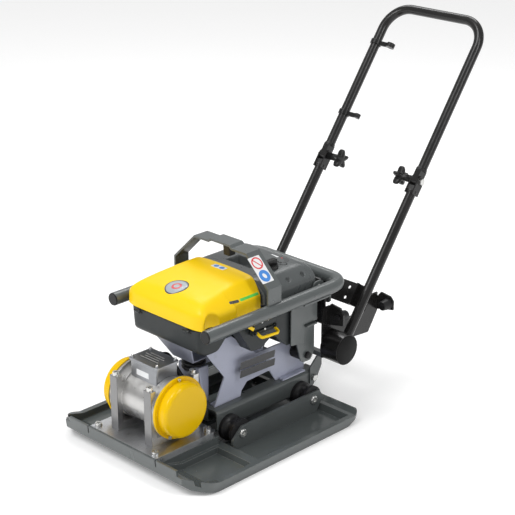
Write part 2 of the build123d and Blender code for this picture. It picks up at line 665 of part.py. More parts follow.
save(joined(latches), "latch_bodies")

LEVER_HALF = 31.0
for side, word in ((-1, "left"), (1, "right")):
    with BuildPart() as latch_lever:
        with BuildSketch(Plane.XZ.offset(-(LATCH_Y + LATCH_HALF - 0.5))):
            with Locations((side * LEVER_X, LEVER_Z)):
                Circle(LEVER_PIN_R)
        extrude(amount=2 * LATCH_HALF - 1)
        # a loop of flat bar: two arms and a cross grip
        with BuildSketch(Plane.XZ.offset(-(LATCH_Y + LEVER_HALF))):
            with Locations((side * LEVER_X, LEVER_Z)):
                Circle(4.4)
            Polygon((side * (LEVER_X - 2), LEVER_Z), (side * (LEVER_X + 4), LEVER_Z + 1),
                    (side * (LEVER_X + 15), 259), (side * (LEVER_X + 12), 254), (side * (LEVER_X + 8), 256),
                    align=None)
        extrude(amount=2 * LEVER_HALF)
        with BuildSketch(Plane.XZ.offset(-(LATCH_Y + LEVER_HALF - 9))):
            Polygon((side * (LEVER_X - 12), LEVER_Z + 8), (side * (LEVER_X + 12), LEVER_Z + 8),
                    (side * (LEVER_X + 16), 266), (side * (LEVER_X - 6), 266), align=None)
        extrude(amount=2 * LEVER_HALF - 18, mode=Mode.SUBTRACT)
        with BuildSketch(Plane.XZ.offset(-(LATCH_Y + LEVER_HALF - 9))):
            with Locations((side * LEVER_X, LEVER_Z)):
                Circle(LEVER_PIN_R)
        extrude(amount=2 * LEVER_HALF - 18)
    save(latch_lever.part, f"latch_lever_{word}")

# ---------------------------------------------------------------- guard rail and lifting bar
with BuildPart() as guard_rail:
    with BuildLine():
        FilletPolyline((-RAIL_X, RAIL_FRONT_Y, RAIL_Z), (-RAIL_X, RAIL_REAR_Y, RAIL_Z),
                       (RAIL_X, RAIL_REAR_Y, RAIL_Z), (RAIL_X, RAIL_FRONT_Y, RAIL_Z), radius=RAIL_BEND_R)
    with BuildSketch(Plane(origin=(-RAIL_X, RAIL_FRONT_Y, RAIL_Z), z_dir=(0, 1, 0))):
        Circle(RAIL_R)
        Circle(RAIL_R - 2.6, mode=Mode.SUBTRACT)
    sweep()
    # bolted ear plates under the rear tube
    for side in (-1, 1):
        with BuildSketch(Plane.XZ.offset(-RAIL_REAR_Y - 2)):
            with Locations((side * 93, 296)):
                RectangleRounded(38, 60, 8)
            with Locations((side * 93, 307), (side * 93, 287)):
                Circle(4, mode=Mode.SUBTRACT)
        extrude(amount=5)
save(guard_rail.part, "guard_rail")

caps = []
for side in (-1, 1):
    with BuildPart() as cap:
        with BuildSketch(Plane.XZ.offset(-RAIL_FRONT_Y)):
            with Locations((side * RAIL_X, RAIL_Z)):
                Circle(RAIL_R - 0.6)
        extrude(amount=3)
        fillet(cap.faces().sort_by(Axis.Y)[0].edges(), radius=2)
        with BuildSketch(Plane.XZ.offset(-RAIL_FRONT_Y)):
            with Locations((side * RAIL_X, RAIL_Z)):
                Circle(RAIL_R - 2.6)
        extrude(amount=-18)
    caps.append(cap.part.solid())
save(joined(caps), "rail_caps")

SUPPORT_X = BRACKET_PLATE_X + SHEET
EAR_OUT_X = RAIL_X - RAIL_R - 0.4
EAR_FOOT_Z = RAIL_Z - RAIL_R - SHEET
EAR_TOP_Z = 356.0
EAR_Y = 238.0
EAR_HALF = 18.0
EAR_CORNER_R = 12.0
EAR_HOLE_R = 3.2
supports = []
for side in (-1, 1):
    with BuildPart() as support:
        with BuildSketch(side_plane(side * SUPPORT_X)):
            Polygon((165, 200), (211, 194), (211, 242), (257, 242), (257, RAIL_Z - RAIL_R),
                    (165, RAIL_Z - RAIL_R), align=None)
        extrude(amount=side * SHEET)
        with BuildSketch(Plane.XY.offset(RAIL_Z - RAIL_R - SHEET)):
            with Locations((side * (SUPPORT_X + 24), 211)):
                Rectangle(48, 92)
        extrude(amount=SHEET)
        # ear plate that stands inside the rail's tube
        with BuildSketch(side_plane(side * (EAR_OUT_X - SHEET))) as ear:
            Polygon((EAR_Y - EAR_HALF, EAR_FOOT_Z), (EAR_Y + EAR_HALF, EAR_FOOT_Z),
                    (EAR_Y + EAR_HALF, EAR_TOP_Z), (EAR_Y - EAR_HALF, EAR_TOP_Z), align=None)
            fillet(ear.vertices().group_by(Axis.Y)[-1], radius=EAR_CORNER_R)
            with Locations((EAR_Y, EAR_TOP_Z - 13), (EAR_Y, EAR_TOP_Z - 30)):
                Circle(EAR_HOLE_R, mode=Mode.SUBTRACT)
        extrude(amount=side * SHEET)
    supports.append(support.part.solid())
save(joined(supports), "rail_supports")

BAR_KNEE_X = 88.0
BAR_KNEE_Z = 394.0
HUMP_X = 32.0
HUMP_RISE = 6.0


def bar_strip(drop):
    """One face of the bent strip, `drop` below or inside the outer face."""
    inner = drop * 0.55
    half = [(HUMP_X - inner / 2, BAR_TOP_Z + HUMP_RISE - drop), (HUMP_X + 8 - inner / 2, BAR_TOP_Z - drop),
            (BAR_KNEE_X - inner / 2, BAR_TOP_Z - drop), (RAIL_X + BAR_THICK / 2 - drop, BAR_KNEE_Z - inner),
            (RAIL_X + BAR_THICK / 2 - drop, RAIL_Z + RAIL_R - 1)]
    return [(-x, z) for x, z in reversed(half)] + half


with BuildPart() as lifting_bar:
    with BuildSketch(Plane.XZ.offset(-BAR_FRONT_Y - BAR_WIDTH)):
        Polygon(*bar_strip(0), *reversed(bar_strip(BAR_THICK)), align=None)
    extrude(amount=BAR_WIDTH)
    # each foot is cut to sit on the rail's tube
    with BuildSketch(Plane.XZ):
        with Locations((-RAIL_X, RAIL_Z), (RAIL_X, RAIL_Z)):
            Circle(RAIL_R)
    extrude(amount=2 * BAR_WIDTH + BAR_FRONT_Y, both=True, mode=Mode.SUBTRACT)
save(lifting_bar.part, "lifting_bar")

PAD_X = 17.0
with BuildPart() as bar_pad:
    with BuildSketch(Plane.XY.offset(BAR_TOP_Z + HUMP_RISE - BAR_THICK)):
        with Locations((PAD_X, BAR_FRONT_Y + 16)):
            RectangleRounded(24, 24, 4)
    extrude(amount=-26, taper=4)
save(bar_pad.part, "bar_pad")

# ---------------------------------------------------------------- exciter
FIT = 0.02                    # pressed pieces that stay together
PLATE_FRONT_Y = -half_length + 6
with BuildPart() as exciter_plate:
    with BuildSketch(Plane.XY.offset(PLATE_TOP_Z)) as plan:
        Polygon((-PLATE_HALF, PLATE_FRONT_Y), (PLATE_HALF, PLATE_FRONT_Y), (PLATE_HALF, PLATE_REAR_Y),
                (-PLATE_HALF, PLATE_REAR_Y), align=None)
        fillet(plan.vertices().group_by(Axis.Y)[-1], radius=16)
    extrude(amount=-PLATE_THICK)
    with Locations(*[(x, y, PLATE_TOP_Z) for x, y in plate_screw_spots]):
        Hole(PLATE_SCREW_R)
    leg_screw_spots = [(sx * LEG_X, EXCITER_Y + sy * (LEG_REACH - 8)) for sx in (-1, 1) for sy in (-1, 1)]
    with Locations(*[(x, y, PLATE_TOP_Z) for x, y in leg_screw_spots]):
        Hole(LEG_SCREW_R, depth=12)
save(exciter_plate.part, "exciter_plate")

plate_screws = [cap_screw(Plane(origin=(x, y, PLATE_TOP_Z)), 8.5, 9, PLATE_SCREW_R, PLATE_THICK + 20).solid()
                for x, y in plate_screw_spots]
save(joined(plate_screws), "exciter_plate_screws")

BARREL_HALF = LEG_X + LEG_WIDTH / 2
FLANGE_X = 78.0               # the housing's machined end faces
SADDLE_R = 66.0
STATOR_R = 50.0
with BuildPart() as exciter_housing:
    with BuildSketch(side_plane(0)):
        with Locations((EXCITER_Y, EXCITER_Z)):
            Circle(BARREL_R)
    extrude(amount=BARREL_HALF, both=True)
    for side in (-1, 1):
        inner = side * (LEG_X - LEG_WIDTH / 2)
        with BuildSketch(side_plane(inner)):
            with Locations((EXCITER_Y, EXCITER_Z)):
                Circle(SADDLE_R)
            for reach in (-1, 1):
                with Locations((EXCITER_Y + reach * (LEG_REACH - 8), (PLATE_TOP_Z + LEG_TOP_Z) / 2)):
                    Rectangle(16, LEG_TOP_Z - PLATE_TOP_Z)
            with Locations((EXCITER_Y, PLATE_TOP_Z + 9)):
                Rectangle(2 * LEG_REACH - 4, 18)
            # webs that tie each leg's top to the saddle
            Polygon((EXCITER_Y - LEG_REACH + 4, 186), (EXCITER_Y - 46, 178), (EXCITER_Y - 60, 150),
                    (EXCITER_Y - LEG_REACH + 4, 150), align=None)
            Polygon((EXCITER_Y + LEG_REACH - 4, 186), (EXCITER_Y + 46, 178), (EXCITER_Y + 60, 150),
                    (EXCITER_Y + LEG_REACH - 4, 150), align=None)
        extrude(amount=side * LEG_WIDTH)
        with BuildSketch(side_plane(side * BARREL_HALF)):
            with Locations((EXCITER_Y, EXCITER_Z)):
                Circle(COVER_FLANGE_R - 2)
        extrude(amount=side * (FLANGE_X - BARREL_HALF))
    # bore of the motor, bearing seats and end recesses
    with BuildSketch(side_plane(0)):
        with Locations((EXCITER_Y, EXCITER_Z)):
            Circle(STATOR_R)
    extrude(amount=42, both=True, mode=Mode.SUBTRACT)
    with BuildSketch(side_plane(0)):
        with Locations((EXCITER_Y, EXCITER_Z)):
            Circle(SHAFT_R + 6)
    extrude(amount=FLANGE_X, both=True, mode=Mode.SUBTRACT)
    for side in (-1, 1):
        with BuildSketch(side_plane(side * 50)):
            with Locations((EXCITER_Y, EXCITER_Z)):
                Circle(BEARING_R)
        extrude(amount=side * 30, mode=Mode.SUBTRACT)
        with BuildSketch(side_plane(side * 68)):
            with Locations((EXCITER_Y, EXCITER_Z)):
                Circle(STATOR_R)
        extrude(amount=side * 12, mode=Mode.SUBTRACT)
    with Locations(*[(x, y, LEG_TOP_Z) for x, y in leg_screw_spots]):
        Hole(LEG_SCREW_R, depth=LEG_TOP_Z - PLATE_TOP_Z + 1)
    cover_circle = COVER_FLANGE_R - 4.6
    cover_screw_spots = [(EXCITER_Y + cover_circle * math.cos(math.radians(turn)),
                          EXCITER_Z + cover_circle * math.sin(math.radians(turn)))
                         for turn in COVER_SCREW_TURNS]
    for side in (-1, 1):
        with BuildSketch(side_plane(side * FLANGE_X)):
            with Locations(*cover_screw_spots):
                Circle(COVER_SCREW_R)
        extrude(amount=-side * 7, mode=Mode.SUBTRACT)
save(exciter_housing.part, "exciter_housing")

leg_screw_length = LEG_TOP_Z - PLATE_TOP_Z + 11
leg_screws = [cap_screw(Plane(origin=(x, y, LEG_TOP_Z)), 7.6, 9, LEG_SCREW_R, leg_screw_length).solid()
              for x, y in leg_screw_spots]
save(joined(leg_screws), "exciter_leg_screws")

FLANGE_THICK = 6.0
COVER_WALL = 4.0
for side, word in ((-1, "left"), (1, "right")):
    with BuildPart() as end_cover:
        with BuildSketch(side_plane(side * FLANGE_X)):
            with Locations((EXCITER_Y, EXCITER_Z)):
                Circle(COVER_R)
        extrude(amount=side * (COVER_END_X - FLANGE_X))
        fillet(end_cover.faces().sort_by(Axis.X)[-1 if side > 0 else 0].edges(), radius=10)
        with BuildSketch(side_plane(side * FLANGE_X)):
            with Locations((EXCITER_Y, EXCITER_Z)):
                Circle(COVER_FLANGE_R)
            with Locations(*cover_screw_spots):
                Circle(COVER_SCREW_R, mode=Mode.SUBTRACT)
        extrude(amount=side * FLANGE_THICK)
        with BuildSketch(side_plane(side * FLANGE_X)):
            with Locations((EXCITER_Y, EXCITER_Z)):
                Circle(COVER_R - COVER_WALL)
        extrude(amount=side * (COVER_END_X - FLANGE_X - COVER_WALL), mode=Mode.SUBTRACT)
    save(end_cover.part, f"end_cover_{word}")

cover_screws = []
for side in (-1, 1):
    for y, z in cover_screw_spots:
        head = Plane(origin=(side * (FLANGE_X + FLANGE_THICK), y, z), z_dir=(side, 0, 0))
        cover_screws.append(cap_screw(head, 4.0, 4, COVER_SCREW_R, FLANGE_THICK + 6).solid())
save(joined(cover_screws), "end_cover_screws")

with BuildPart() as stator:
    with BuildSketch(side_plane(0)):
        with Locations((EXCITER_Y, EXCITER_Z)):
            Circle(STATOR_R - FIT)
            Circle(32, mode=Mode.SUBTRACT)
    extrude(amount=35, both=True)
save(stator.part, "stator")

with BuildPart() as rotor:
    with BuildSketch(side_plane(0)):
        with Locations((EXCITER_Y, EXCITER_Z)):
            Circle(31.4)
            Circle(SHAFT_R + FIT, mode=Mode.SUBTRACT)
    extrude(amount=34, both=True)
save(rotor.part, "rotor")

with BuildPart() as exciter_shaft:
    with BuildSketch(side_plane(0)):
        with Locations((EXCITER_Y, EXCITER_Z)):
            Circle(SHAFT_R)
    extrude(amount=100, both=True)
    chamfer(exciter_shaft.edges().filter_by(GeomType.CIRCLE), length=1.5)
save(exciter_shaft.part, "exciter_shaft")

bearings = []
for side in (-1, 1):
    with BuildPart() as bearing:
        with BuildSketch(side_plane(side * 50)):
            with Locations((EXCITER_Y, EXCITER_Z)):
                Circle(BEARING_R - FIT)
                Circle(SHAFT_R + RUNNING_CLEARANCE, mode=Mode.SUBTRACT)
        extrude(amount=side * 18)
    bearings.append(bearing.part.solid())
save(joined(bearings), "exciter_bearings")

WEIGHT_R = 48.0
weights = []
for side in (-1, 1):
    with BuildPart() as weight:
        with BuildSketch(side_plane(side * 80)):
            with Locations((EXCITER_Y, EXCITER_Z)):
                Circle(WEIGHT_R)
            with Locations((EXCITER_Y, EXCITER_Z + WEIGHT_R / 2)):
                Rectangle(2 * WEIGHT_R, WEIGHT_R, mode=Mode.SUBTRACT)
            with Locations((EXCITER_Y, EXCITER_Z)):
                Circle(SHAFT_R + 8)
                Circle(SHAFT_R + FIT, mode=Mode.SUBTRACT)
        extrude(amount=side * 18)
    weights.append(weight.part.solid())
save(joined(weights), "eccentric_weights")

# ---------------------------------------------------------------- terminal box and motor cable
BOX_HALF = 46.0
BOX_DEPTH = 66.0
BOX_TOP_Z = 234.0
BOX_WALL = 4.0
GLAND_X = -35.0
GLAND_Z = 220.0
CABLE_R = 6.0
box_rear_y = EXCITER_Y + BOX_DEPTH / 2
with BuildPart() as terminal_box:
    with BuildSketch(Plane.XY.offset(BOX_TOP_Z)):
        with Locations((0, EXCITER_Y)):
            RectangleRounded(2 * BOX_HALF, BOX_DEPTH, 5)
    extrude(amount=-46)
    with BuildSketch(side_plane(0)):
        with Locations((EXCITER_Y, EXCITER_Z)):
            Circle(BARREL_R)
    extrude(amount=BOX_HALF + 1, both=True, mode=Mode.SUBTRACT)
    with BuildSketch(Plane.XY.offset(BOX_TOP_Z)):
        with Locations((0, EXCITER_Y)):
            RectangleRounded(2 * (BOX_HALF - BOX_WALL), BOX_DEPTH - 2 * BOX_WALL, 3)
    extrude(amount=-26, mode=Mode.SUBTRACT)
    # terminal block inside
    with BuildSketch(Plane.XY.offset(BOX_TOP_Z - 26)):
        with Locations((0, EXCITER_Y)):
            with GridLocations(22, 1, 3, 1):
                Rectangle(14, 26)
    extrude(amount=12)
save(terminal_box.part, "terminal_box")

COVER_PLATE_TOP_Z = 240.0
with BuildPart() as terminal_cover:
    with BuildSketch(Plane.XY.offset(BOX_TOP_Z)):
        with Locations((0, EXCITER_Y)):
            RectangleRounded(2 * BOX_HALF + 8, BOX_DEPTH + 6, 8)
    extrude(amount=COVER_PLATE_TOP_Z - BOX_TOP_Z)
    fillet(terminal_cover.faces().sort_by(Axis.Z)[-1].edges(), radius=1.5)
    with BuildSketch(Plane.XY.offset(COVER_PLATE_TOP_Z)):
        with Locations((0, EXCITER_Y)):
            with GridLocations(2 * BOX_HALF - 8, BOX_DEPTH - 10, 2, 2):
                Circle(4)
                RegularPolygon(2, 6, mode=Mode.SUBTRACT)
    extrude(amount=2.5)
save(terminal_cover.part, "terminal_cover")

with BuildPart() as cable_gland:
    with BuildSketch(Plane(origin=(GLAND_X, box_rear_y, GLAND_Z), z_dir=(0, 1, 0))):
        RegularPolygon(12, 6)
    extrude(amount=7)
    with BuildSketch(Plane(origin=(GLAND_X, box_rear_y + 7, GLAND_Z), z_dir=(0, 1, 0))):
        Circle(10)
    extrude(amount=14, taper=6)
save(cable_gland.part, "cable_gland")

# from the gland down and back through the hole in the console's front panel
cable_points = [(GLAND_X, box_rear_y + 21, GLAND_Z), (GLAND_X + 1, box_rear_y + 39, GLAND_Z - 4),
                (-26, -93, 203), (-8, -91, 179), (6, -84, 157), (12, -66, 141), (12, -47, 139)]


def widest_radii(points):
    """The largest bend that each corner of a route leaves room for."""
    radii = []
    for before, corner, after in zip(points, points[1:], points[2:]):
        first = Vector(*corner) - Vector(*before)
        second = Vector(*after) - Vector(*corner)
        turn = math.radians(first.get_angle(second))
        radii.append(0.45 * min(first.length, second.length) / math.tan(turn / 2))
    return radii


cable_radii = widest_radii(cable_points)
print("cable bend radii", [round(radius, 1) for radius in cable_radii])
with BuildPart() as motor_cable:
    with BuildLine() as cable_path:
        FilletPolyline(*cable_points, radius=cable_radii)
    with BuildSketch(Plane(origin=cable_points[0], z_dir=cable_path.line % 0)):
        Circle(CABLE_R)
    sweep()
cable_length = sum(edge.length for edge in cable_path.edges())
print("cable volume over section times length",
      round(motor_cable.part.volume / (math.pi * CABLE_R ** 2 * cable_length), 4))
save(motor_cable.part, "motor_cable")

# ---------------------------------------------------------------- handle carrier at the rear
STOP_PLATE_X = 112.0          # inner face of the stop bracket's side plates
STOP_PLATE = 5.0
CARRIER_Y = 298.0
with BuildPart() as rear_cross_plate:
    with BuildSketch(Plane.XZ.offset(-CARRIER_Y - STOP_PLATE)) as face:
        Polygon((-STOP_PLATE_X, 211), (STOP_PLATE_X, 211), (STOP_PLATE_X, 256), (108, 256), (108, 318),
                (78, 318), (78, 256), (-78, 256), (-78, 318), (-108, 318), (-108, 256), (-STOP_PLATE_X, 256),
                align=None)
        fillet(face.vertices().group_by(Axis.Y)[-1], radius=6)
        with Locations((-80, 243), (-80, 222), (80, 243), (80, 222)):
            Circle(4, mode=Mode.SUBTRACT)
        with Locations((-93, 307), (-93, 287), (93, 307), (93, 287)):
            Circle(4, mode=Mode.SUBTRACT)
    extrude(amount=STOP_PLATE)
save(rear_cross_plate.part, "rear_cross_plate")

with BuildPart() as carrier_bar:
    with BuildSketch(Plane.XY.offset(128)):
        with Locations((0, 292.5)):
            Rectangle(2 * STOP_PLATE_X, 15)
    extrude(amount=12)
    # a welded plate at each side, bolted to the outside of the channel
    for side in (-1, 1):
        with BuildSketch(side_plane(side * CHANNEL_SIDE_X)):
            Polygon((258, 60), (278, 60), (300, 100), (300, 130), (286, 130), (258, 104), align=None)
            with Locations((270, 74)):
                Circle(5, mode=Mode.SUBTRACT)
        extrude(amount=side * SHEET)
save(carrier_bar.part, "carrier_bar")

carrier_bolts = []
for side in (-1, 1):
    face = side * (CHANNEL_SIDE_X + SHEET)
    with BuildPart() as bolt:
        with BuildSketch(side_plane(face)):
            with Locations((270, 74)):
                RegularPolygon(8.5, 6)
        extrude(amount=side * 7)
        with BuildSketch(side_plane(face)):
            with Locations((270, 74)):
                Circle(5)
        extrude(amount=-side * SHEET)
    carrier_bolts.append(bolt.part.solid())
save(joined(carrier_bolts), "carrier_bolts")

pads = []
rail_bolts = []
for side in (-1, 1):
    with BuildPart() as pad:
        with BuildSketch(Plane.XZ.offset(-(RAIL_REAR_Y - 3))):
            with Locations((side * 93, 295)):
                RectangleRounded(30, 46, 5)
            with Locations((side * 93, 307), (side * 93, 287)):
                Circle(4, mode=Mode.SUBTRACT)
        extrude(amount=RAIL_REAR_Y - 3 - CARRIER_Y - STOP_PLATE)
    pads.append(pad.part.solid())
    for z in (287.0, 307.0):
        ear = Plane(origin=(side * 93, RAIL_REAR_Y + 2, z), z_dir=(0, 1, 0))
        rail_bolts.append(cap_screw(ear, 7, 6, 4, RAIL_REAR_Y + 2 - CARRIER_Y).solid())
save(joined(pads), "ear_pads")
save(joined(rail_bolts), "rail_bolts")

EAR_IN_X = STOP_PLATE_X + STOP_PLATE
EAR_OUT_X = 172.0
FRONT_BUFFER = (245.0, CARRIER_Y + 3, 326.0)     # height, ear's face and buffer's tip
REAR_BUFFER = (225.0, 486.0, 461.0)
BUFFER_R = 15.0
PIVOT_PIN_R = 10.0
stop_brackets = []
for side in (-1, 1):
    with BuildPart() as stop_bracket:
        with BuildSketch(side_plane(side * STOP_PLATE_X)) as outline:
            Polygon((283, 128), (283, 262), (310, 262), (345, 212), (440, 205), (468, 245), (491, 245),
                    (491, 195), (457, 144), (387, 150), (340, 118), align=None)
            fillet([v for v in outline.vertices() if 320 < v.X < 480], radius=8)
            with Locations((PIVOT_Y, PIVOT_Z)):
                Circle(PIVOT_PIN_R, mode=Mode.SUBTRACT)
        extrude(amount=side * STOP_PLATE)
        # ears bent outward, in front of the tube and behind it
        for height, face, top, bottom in ((FRONT_BUFFER[0], CARRIER_Y + 3, 275, 215),
                                          (REAR_BUFFER[0], 491, 250, 200)):
            with BuildSketch(Plane.XZ.offset(-face)):
                Polygon((side * (EAR_IN_X - 1), bottom), (side * EAR_OUT_X, bottom + 12),
                        (side * EAR_OUT_X, height + 10), (side * (EAR_OUT_X - 10), top - 4),
                        (side * (EAR_IN_X + 14), top), (side * (EAR_IN_X - 1), top - 18), align=None)
                with Locations((side * HANDLE_X, height)):
                    Circle(4, mode=Mode.SUBTRACT)
            extrude(amount=STOP_PLATE)
    stop_brackets.append(stop_bracket.part.solid())
save(joined(stop_brackets), "stop_brackets")

buffers = []
for side in (-1, 1):
    for (height, face, tip), way in ((FRONT_BUFFER, 1), (REAR_BUFFER, -1)):
        with BuildPart() as buffer:
            seat = Plane(origin=(side * HANDLE_X, face, height), z_dir=(0, way, 0))
            with BuildSketch(seat):
                Circle(BUFFER_R)
            extrude(amount=abs(tip - face), taper=8)
            fillet(buffer.edges().sort_by(Axis.Y)[-1 if way > 0 else 0], radius=3)
            with BuildSketch(seat):
                Circle(4)
            extrude(amount=-STOP_PLATE - 2)
            with BuildSketch(seat.offset(-STOP_PLATE)):
                RegularPolygon(7.5, 6)
            extrude(amount=-6)
        buffers.append(buffer.part.solid())
save(joined(buffers), "stop_buffers")

# ---------------------------------------------------------------- handle
BARREL_IN_X = 118.3
BARREL_WALL = 4.0
BUSH_R = PIVOT_BARREL_R - BARREL_WALL
pins = []
bushes = []
for side in (-1, 1):
    with BuildPart() as pin:
        with BuildSketch(side_plane(side * (STOP_PLATE_X - 5))):
            with Locations((PIVOT_Y, PIVOT_Z)):
                Circle(16)
        extrude(amount=side * 5)
        with BuildSketch(side_plane(side * (STOP_PLATE_X - 1))):
            with Locations((PIVOT_Y, PIVOT_Z)):
                Circle(PIVOT_PIN_R)
        extrude(amount=side * (165 - STOP_PLATE_X + 1))
    pins.append(pin.part.solid())
    with BuildPart() as bush:
        with BuildSketch(side_plane(side * (BARREL_IN_X + 1))):
            with Locations((PIVOT_Y, PIVOT_Z)):
                Circle(BUSH_R - FIT)
                Circle(PIVOT_PIN_R + RUNNING_CLEARANCE, mode=Mode.SUBTRACT)
        extrude(amount=side * (167 - BARREL_IN_X - 1))
    bushes.append(bush.part.solid())
save(joined(pins), "pivot_pins")
save(joined(bushes), "pivot_bushes")

TUBE_BORE_R = 10.0
FORK_FOOT = 424.0             # along the tube
FORK_PLUG_END = 434.0
CHEEK_R = 13.0
CHEEK_IN = 9.0
CHEEK_OUT = 13.0
TONGUE_HALF = 8.6
FOLD_PIN_R = 5.0
CROSS_PLATE = (108.0, 166.0)  # the cross plate's lower and upper edge, along the tubes
CROSS_FLANGE_X = 132.0


def handle_side_plane(x):
    """Like side_plane, but leaning with the handle: sketch X is back, sketch Y is along the tube."""
    return Plane(origin=handle_point(x, 0, 0), x_dir=UP_HANDLE.y_dir, z_dir=(1, 0, 0))


with BuildPart() as handle_lower:
    for side in (-1, 1):
        with BuildSketch(side_plane(side * BARREL_IN_X)):
            with Locations((PIVOT_Y, PIVOT_Z)):
                Circle(PIVOT_BARREL_R)
        extrude(amount=side * (BARREL_OUT_X - BARREL_IN_X))
        with BuildSketch(side_plane(side * BARREL_IN_X)):
            with Locations((PIVOT_Y, PIVOT_Z)):
                Circle(BUSH_R)
        extrude(amount=side * (168 - BARREL_IN_X), mode=Mode.SUBTRACT)
        with BuildSketch(UP_HANDLE.offset(BUSH_R + 1.5)):
            with Locations((side * HANDLE_X, 0)):
                Circle(HANDLE_TUBE_R)
        extrude(amount=FORK_PLUG_END - BUSH_R - 1.5)
        with BuildSketch(UP_HANDLE.offset(BUSH_R + 6)):
            with Locations((side * HANDLE_X, 0)):
                Circle(TUBE_BORE_R)
        extrude(amount=FORK_FOOT - BUSH_R - 6, mode=Mode.SUBTRACT)
        for cheek in (-1, 1):
            with BuildSketch(handle_side_plane(side * HANDLE_X + cheek * CHEEK_IN)):
                with Locations((0, FOLD_AT)):
                    Circle(CHEEK_R)
                with Locations((0, (FORK_FOOT + FOLD_AT) / 2)):
                    Rectangle(2 * CHEEK_R, FOLD_AT - FORK_FOOT)
            extrude(amount=cheek * (CHEEK_OUT - CHEEK_IN))
    with BuildSketch(handle_side_plane(0)):
        with Locations((0, FOLD_AT)):
            Circle(FOLD_PIN_R + RUNNING_CLEARANCE)
    extrude(amount=EAR_OUT_X, both=True, mode=Mode.SUBTRACT)
    # cross plate between the tubes, with a flange bent forward at each end
    tube_inside = HANDLE_X - HANDLE_TUBE_R + 1.2
    with BuildSketch(UP_HANDLE.offset(CROSS_PLATE[0])):
        Rectangle(2 * tube_inside, 4)
        with Locations((-CROSS_FLANGE_X, -9), (CROSS_FLANGE_X, -9)):
            Rectangle(4, 18)
    extrude(amount=CROSS_PLATE[1] - CROSS_PLATE[0])
    with BuildSketch(Plane(origin=handle_point(0, 10, 0), x_dir=(1, 0, 0), z_dir=UP_HANDLE.y_dir)):
        with Locations((-100, -151), (100, -151), (-100, -123), (100, -123)):
            Circle(4.5)
    extrude(amount=-40, mode=Mode.SUBTRACT)
save(handle_lower.part, "handle_lower")

HEAD_X = HANDLE_X + CHEEK_OUT
KNOB_IN_X = 92.0
KNOB_FACE_X = 111.0
fold_pins = []
for side, word in ((-1, "left"), (1, "right")):
    with BuildPart() as fold_pin:
        with BuildSketch(handle_side_plane(side * HEAD_X)):
            with Locations((0, FOLD_AT)):
                RegularPolygon(9, 6)
        extrude(amount=side * 6)
        with BuildSketch(handle_side_plane(side * (HEAD_X + 1))):
            with Locations((0, FOLD_AT)):
                Circle(FOLD_PIN_R)
        extrude(amount=side * (KNOB_FACE_X - HEAD_X - 11))
    fold_pins.append(fold_pin.part.solid())

    with BuildPart() as star_knob:
        with BuildSketch(handle_side_plane(side * KNOB_IN_X)):
            with Locations((0, FOLD_AT)):
                Circle(15)
                with PolarLocations(15.5, LOBES):
                    Circle(LOBE_R)
        extrude(amount=side * (KNOB_FACE_X - KNOB_IN_X))
        fillet(star_knob.faces().filter_by(Axis.X).edges().filter_by(GeomType.CIRCLE), radius=2)
        with BuildSketch(handle_side_plane(side * KNOB_FACE_X)):
            with Locations((0, FOLD_AT)):
                Circle(10)
        extrude(amount=side * (HANDLE_X - CHEEK_OUT - 0.3 - KNOB_FACE_X))
        with BuildSketch(handle_side_plane(side * (KNOB_IN_X + 8))):
            with Locations((0, FOLD_AT)):
                Circle(FOLD_PIN_R + RUNNING_CLEARANCE)
        extrude(amount=side * 60, mode=Mode.SUBTRACT)
    save(star_knob.part, f"star_knob_{word}")
save(joined(fold_pins), "fold_pins")

TONGUE_FOOT = 490.0
with BuildPart() as handle_upper:
    with BuildLine():
        FilletPolyline(handle_point(-HANDLE_X, 0, TONGUE_FOOT), handle_point(-HANDLE_X, 0, HANDLE_LENGTH),
                       handle_point(HANDLE_X, 0, HANDLE_LENGTH), handle_point(HANDLE_X, 0, TONGUE_FOOT),
                       radius=CROSSBAR_BEND_R)
    with BuildSketch(UP_HANDLE.offset(TONGUE_FOOT)):
        with Locations((-HANDLE_X, 0)):
            Circle(HANDLE_TUBE_R)
            Circle(TUBE_BORE_R, mode=Mode.SUBTRACT)
    sweep()
    for side in (-1, 1):
        with BuildSketch(UP_HANDLE.offset(TONGUE_FOOT)):
            with Locations((side * HANDLE_X, 0)):
                Circle(HANDLE_TUBE_R)
        extrude(amount=12)
        with BuildSketch(handle_side_plane(side * HANDLE_X)):
            with Locations((0, FOLD_AT)):
                Circle(CHEEK_R)
            with Locations((0, (FOLD_AT + TONGUE_FOOT + 2) / 2)):
                Rectangle(2 * CHEEK_R, TONGUE_FOOT + 2 - FOLD_AT)
        extrude(amount=TONGUE_HALF, both=True)
    with BuildSketch(handle_side_plane(0)):
        with Locations((0, FOLD_AT)):
            Circle(FOLD_PIN_R + RUNNING_CLEARANCE)
    extrude(amount=EAR_OUT_X, both=True, mode=Mode.SUBTRACT)
save(handle_upper.part, "handle_upper")

CLIP_R = 15.5
clips = []
for along, reach, end_r in ((795.0, 44.0, 11.0), (586.0, 40.0, 8.0)):
    with BuildPart() as clip:
        with BuildSketch(UP_HANDLE.offset(along - 6)):
            with Locations((-HANDLE_X, 0)):
                Circle(CLIP_R)
            with Locations((-HANDLE_X + CLIP_R + reach / 2 - 6, 0)):
                Rectangle(reach - 6, 5)
            with Locations((-HANDLE_X + reach + 6, 0)):
                Circle(end_r)
            with Locations((-HANDLE_X, 0)):
                Circle(HANDLE_TUBE_R + FIT, mode=Mode.SUBTRACT)
        extrude(amount=12)
    clips.append(clip.part.solid())
save(joined(clips), "handle_clips")
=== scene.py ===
"""Plate compactor: looks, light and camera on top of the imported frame."""
import math

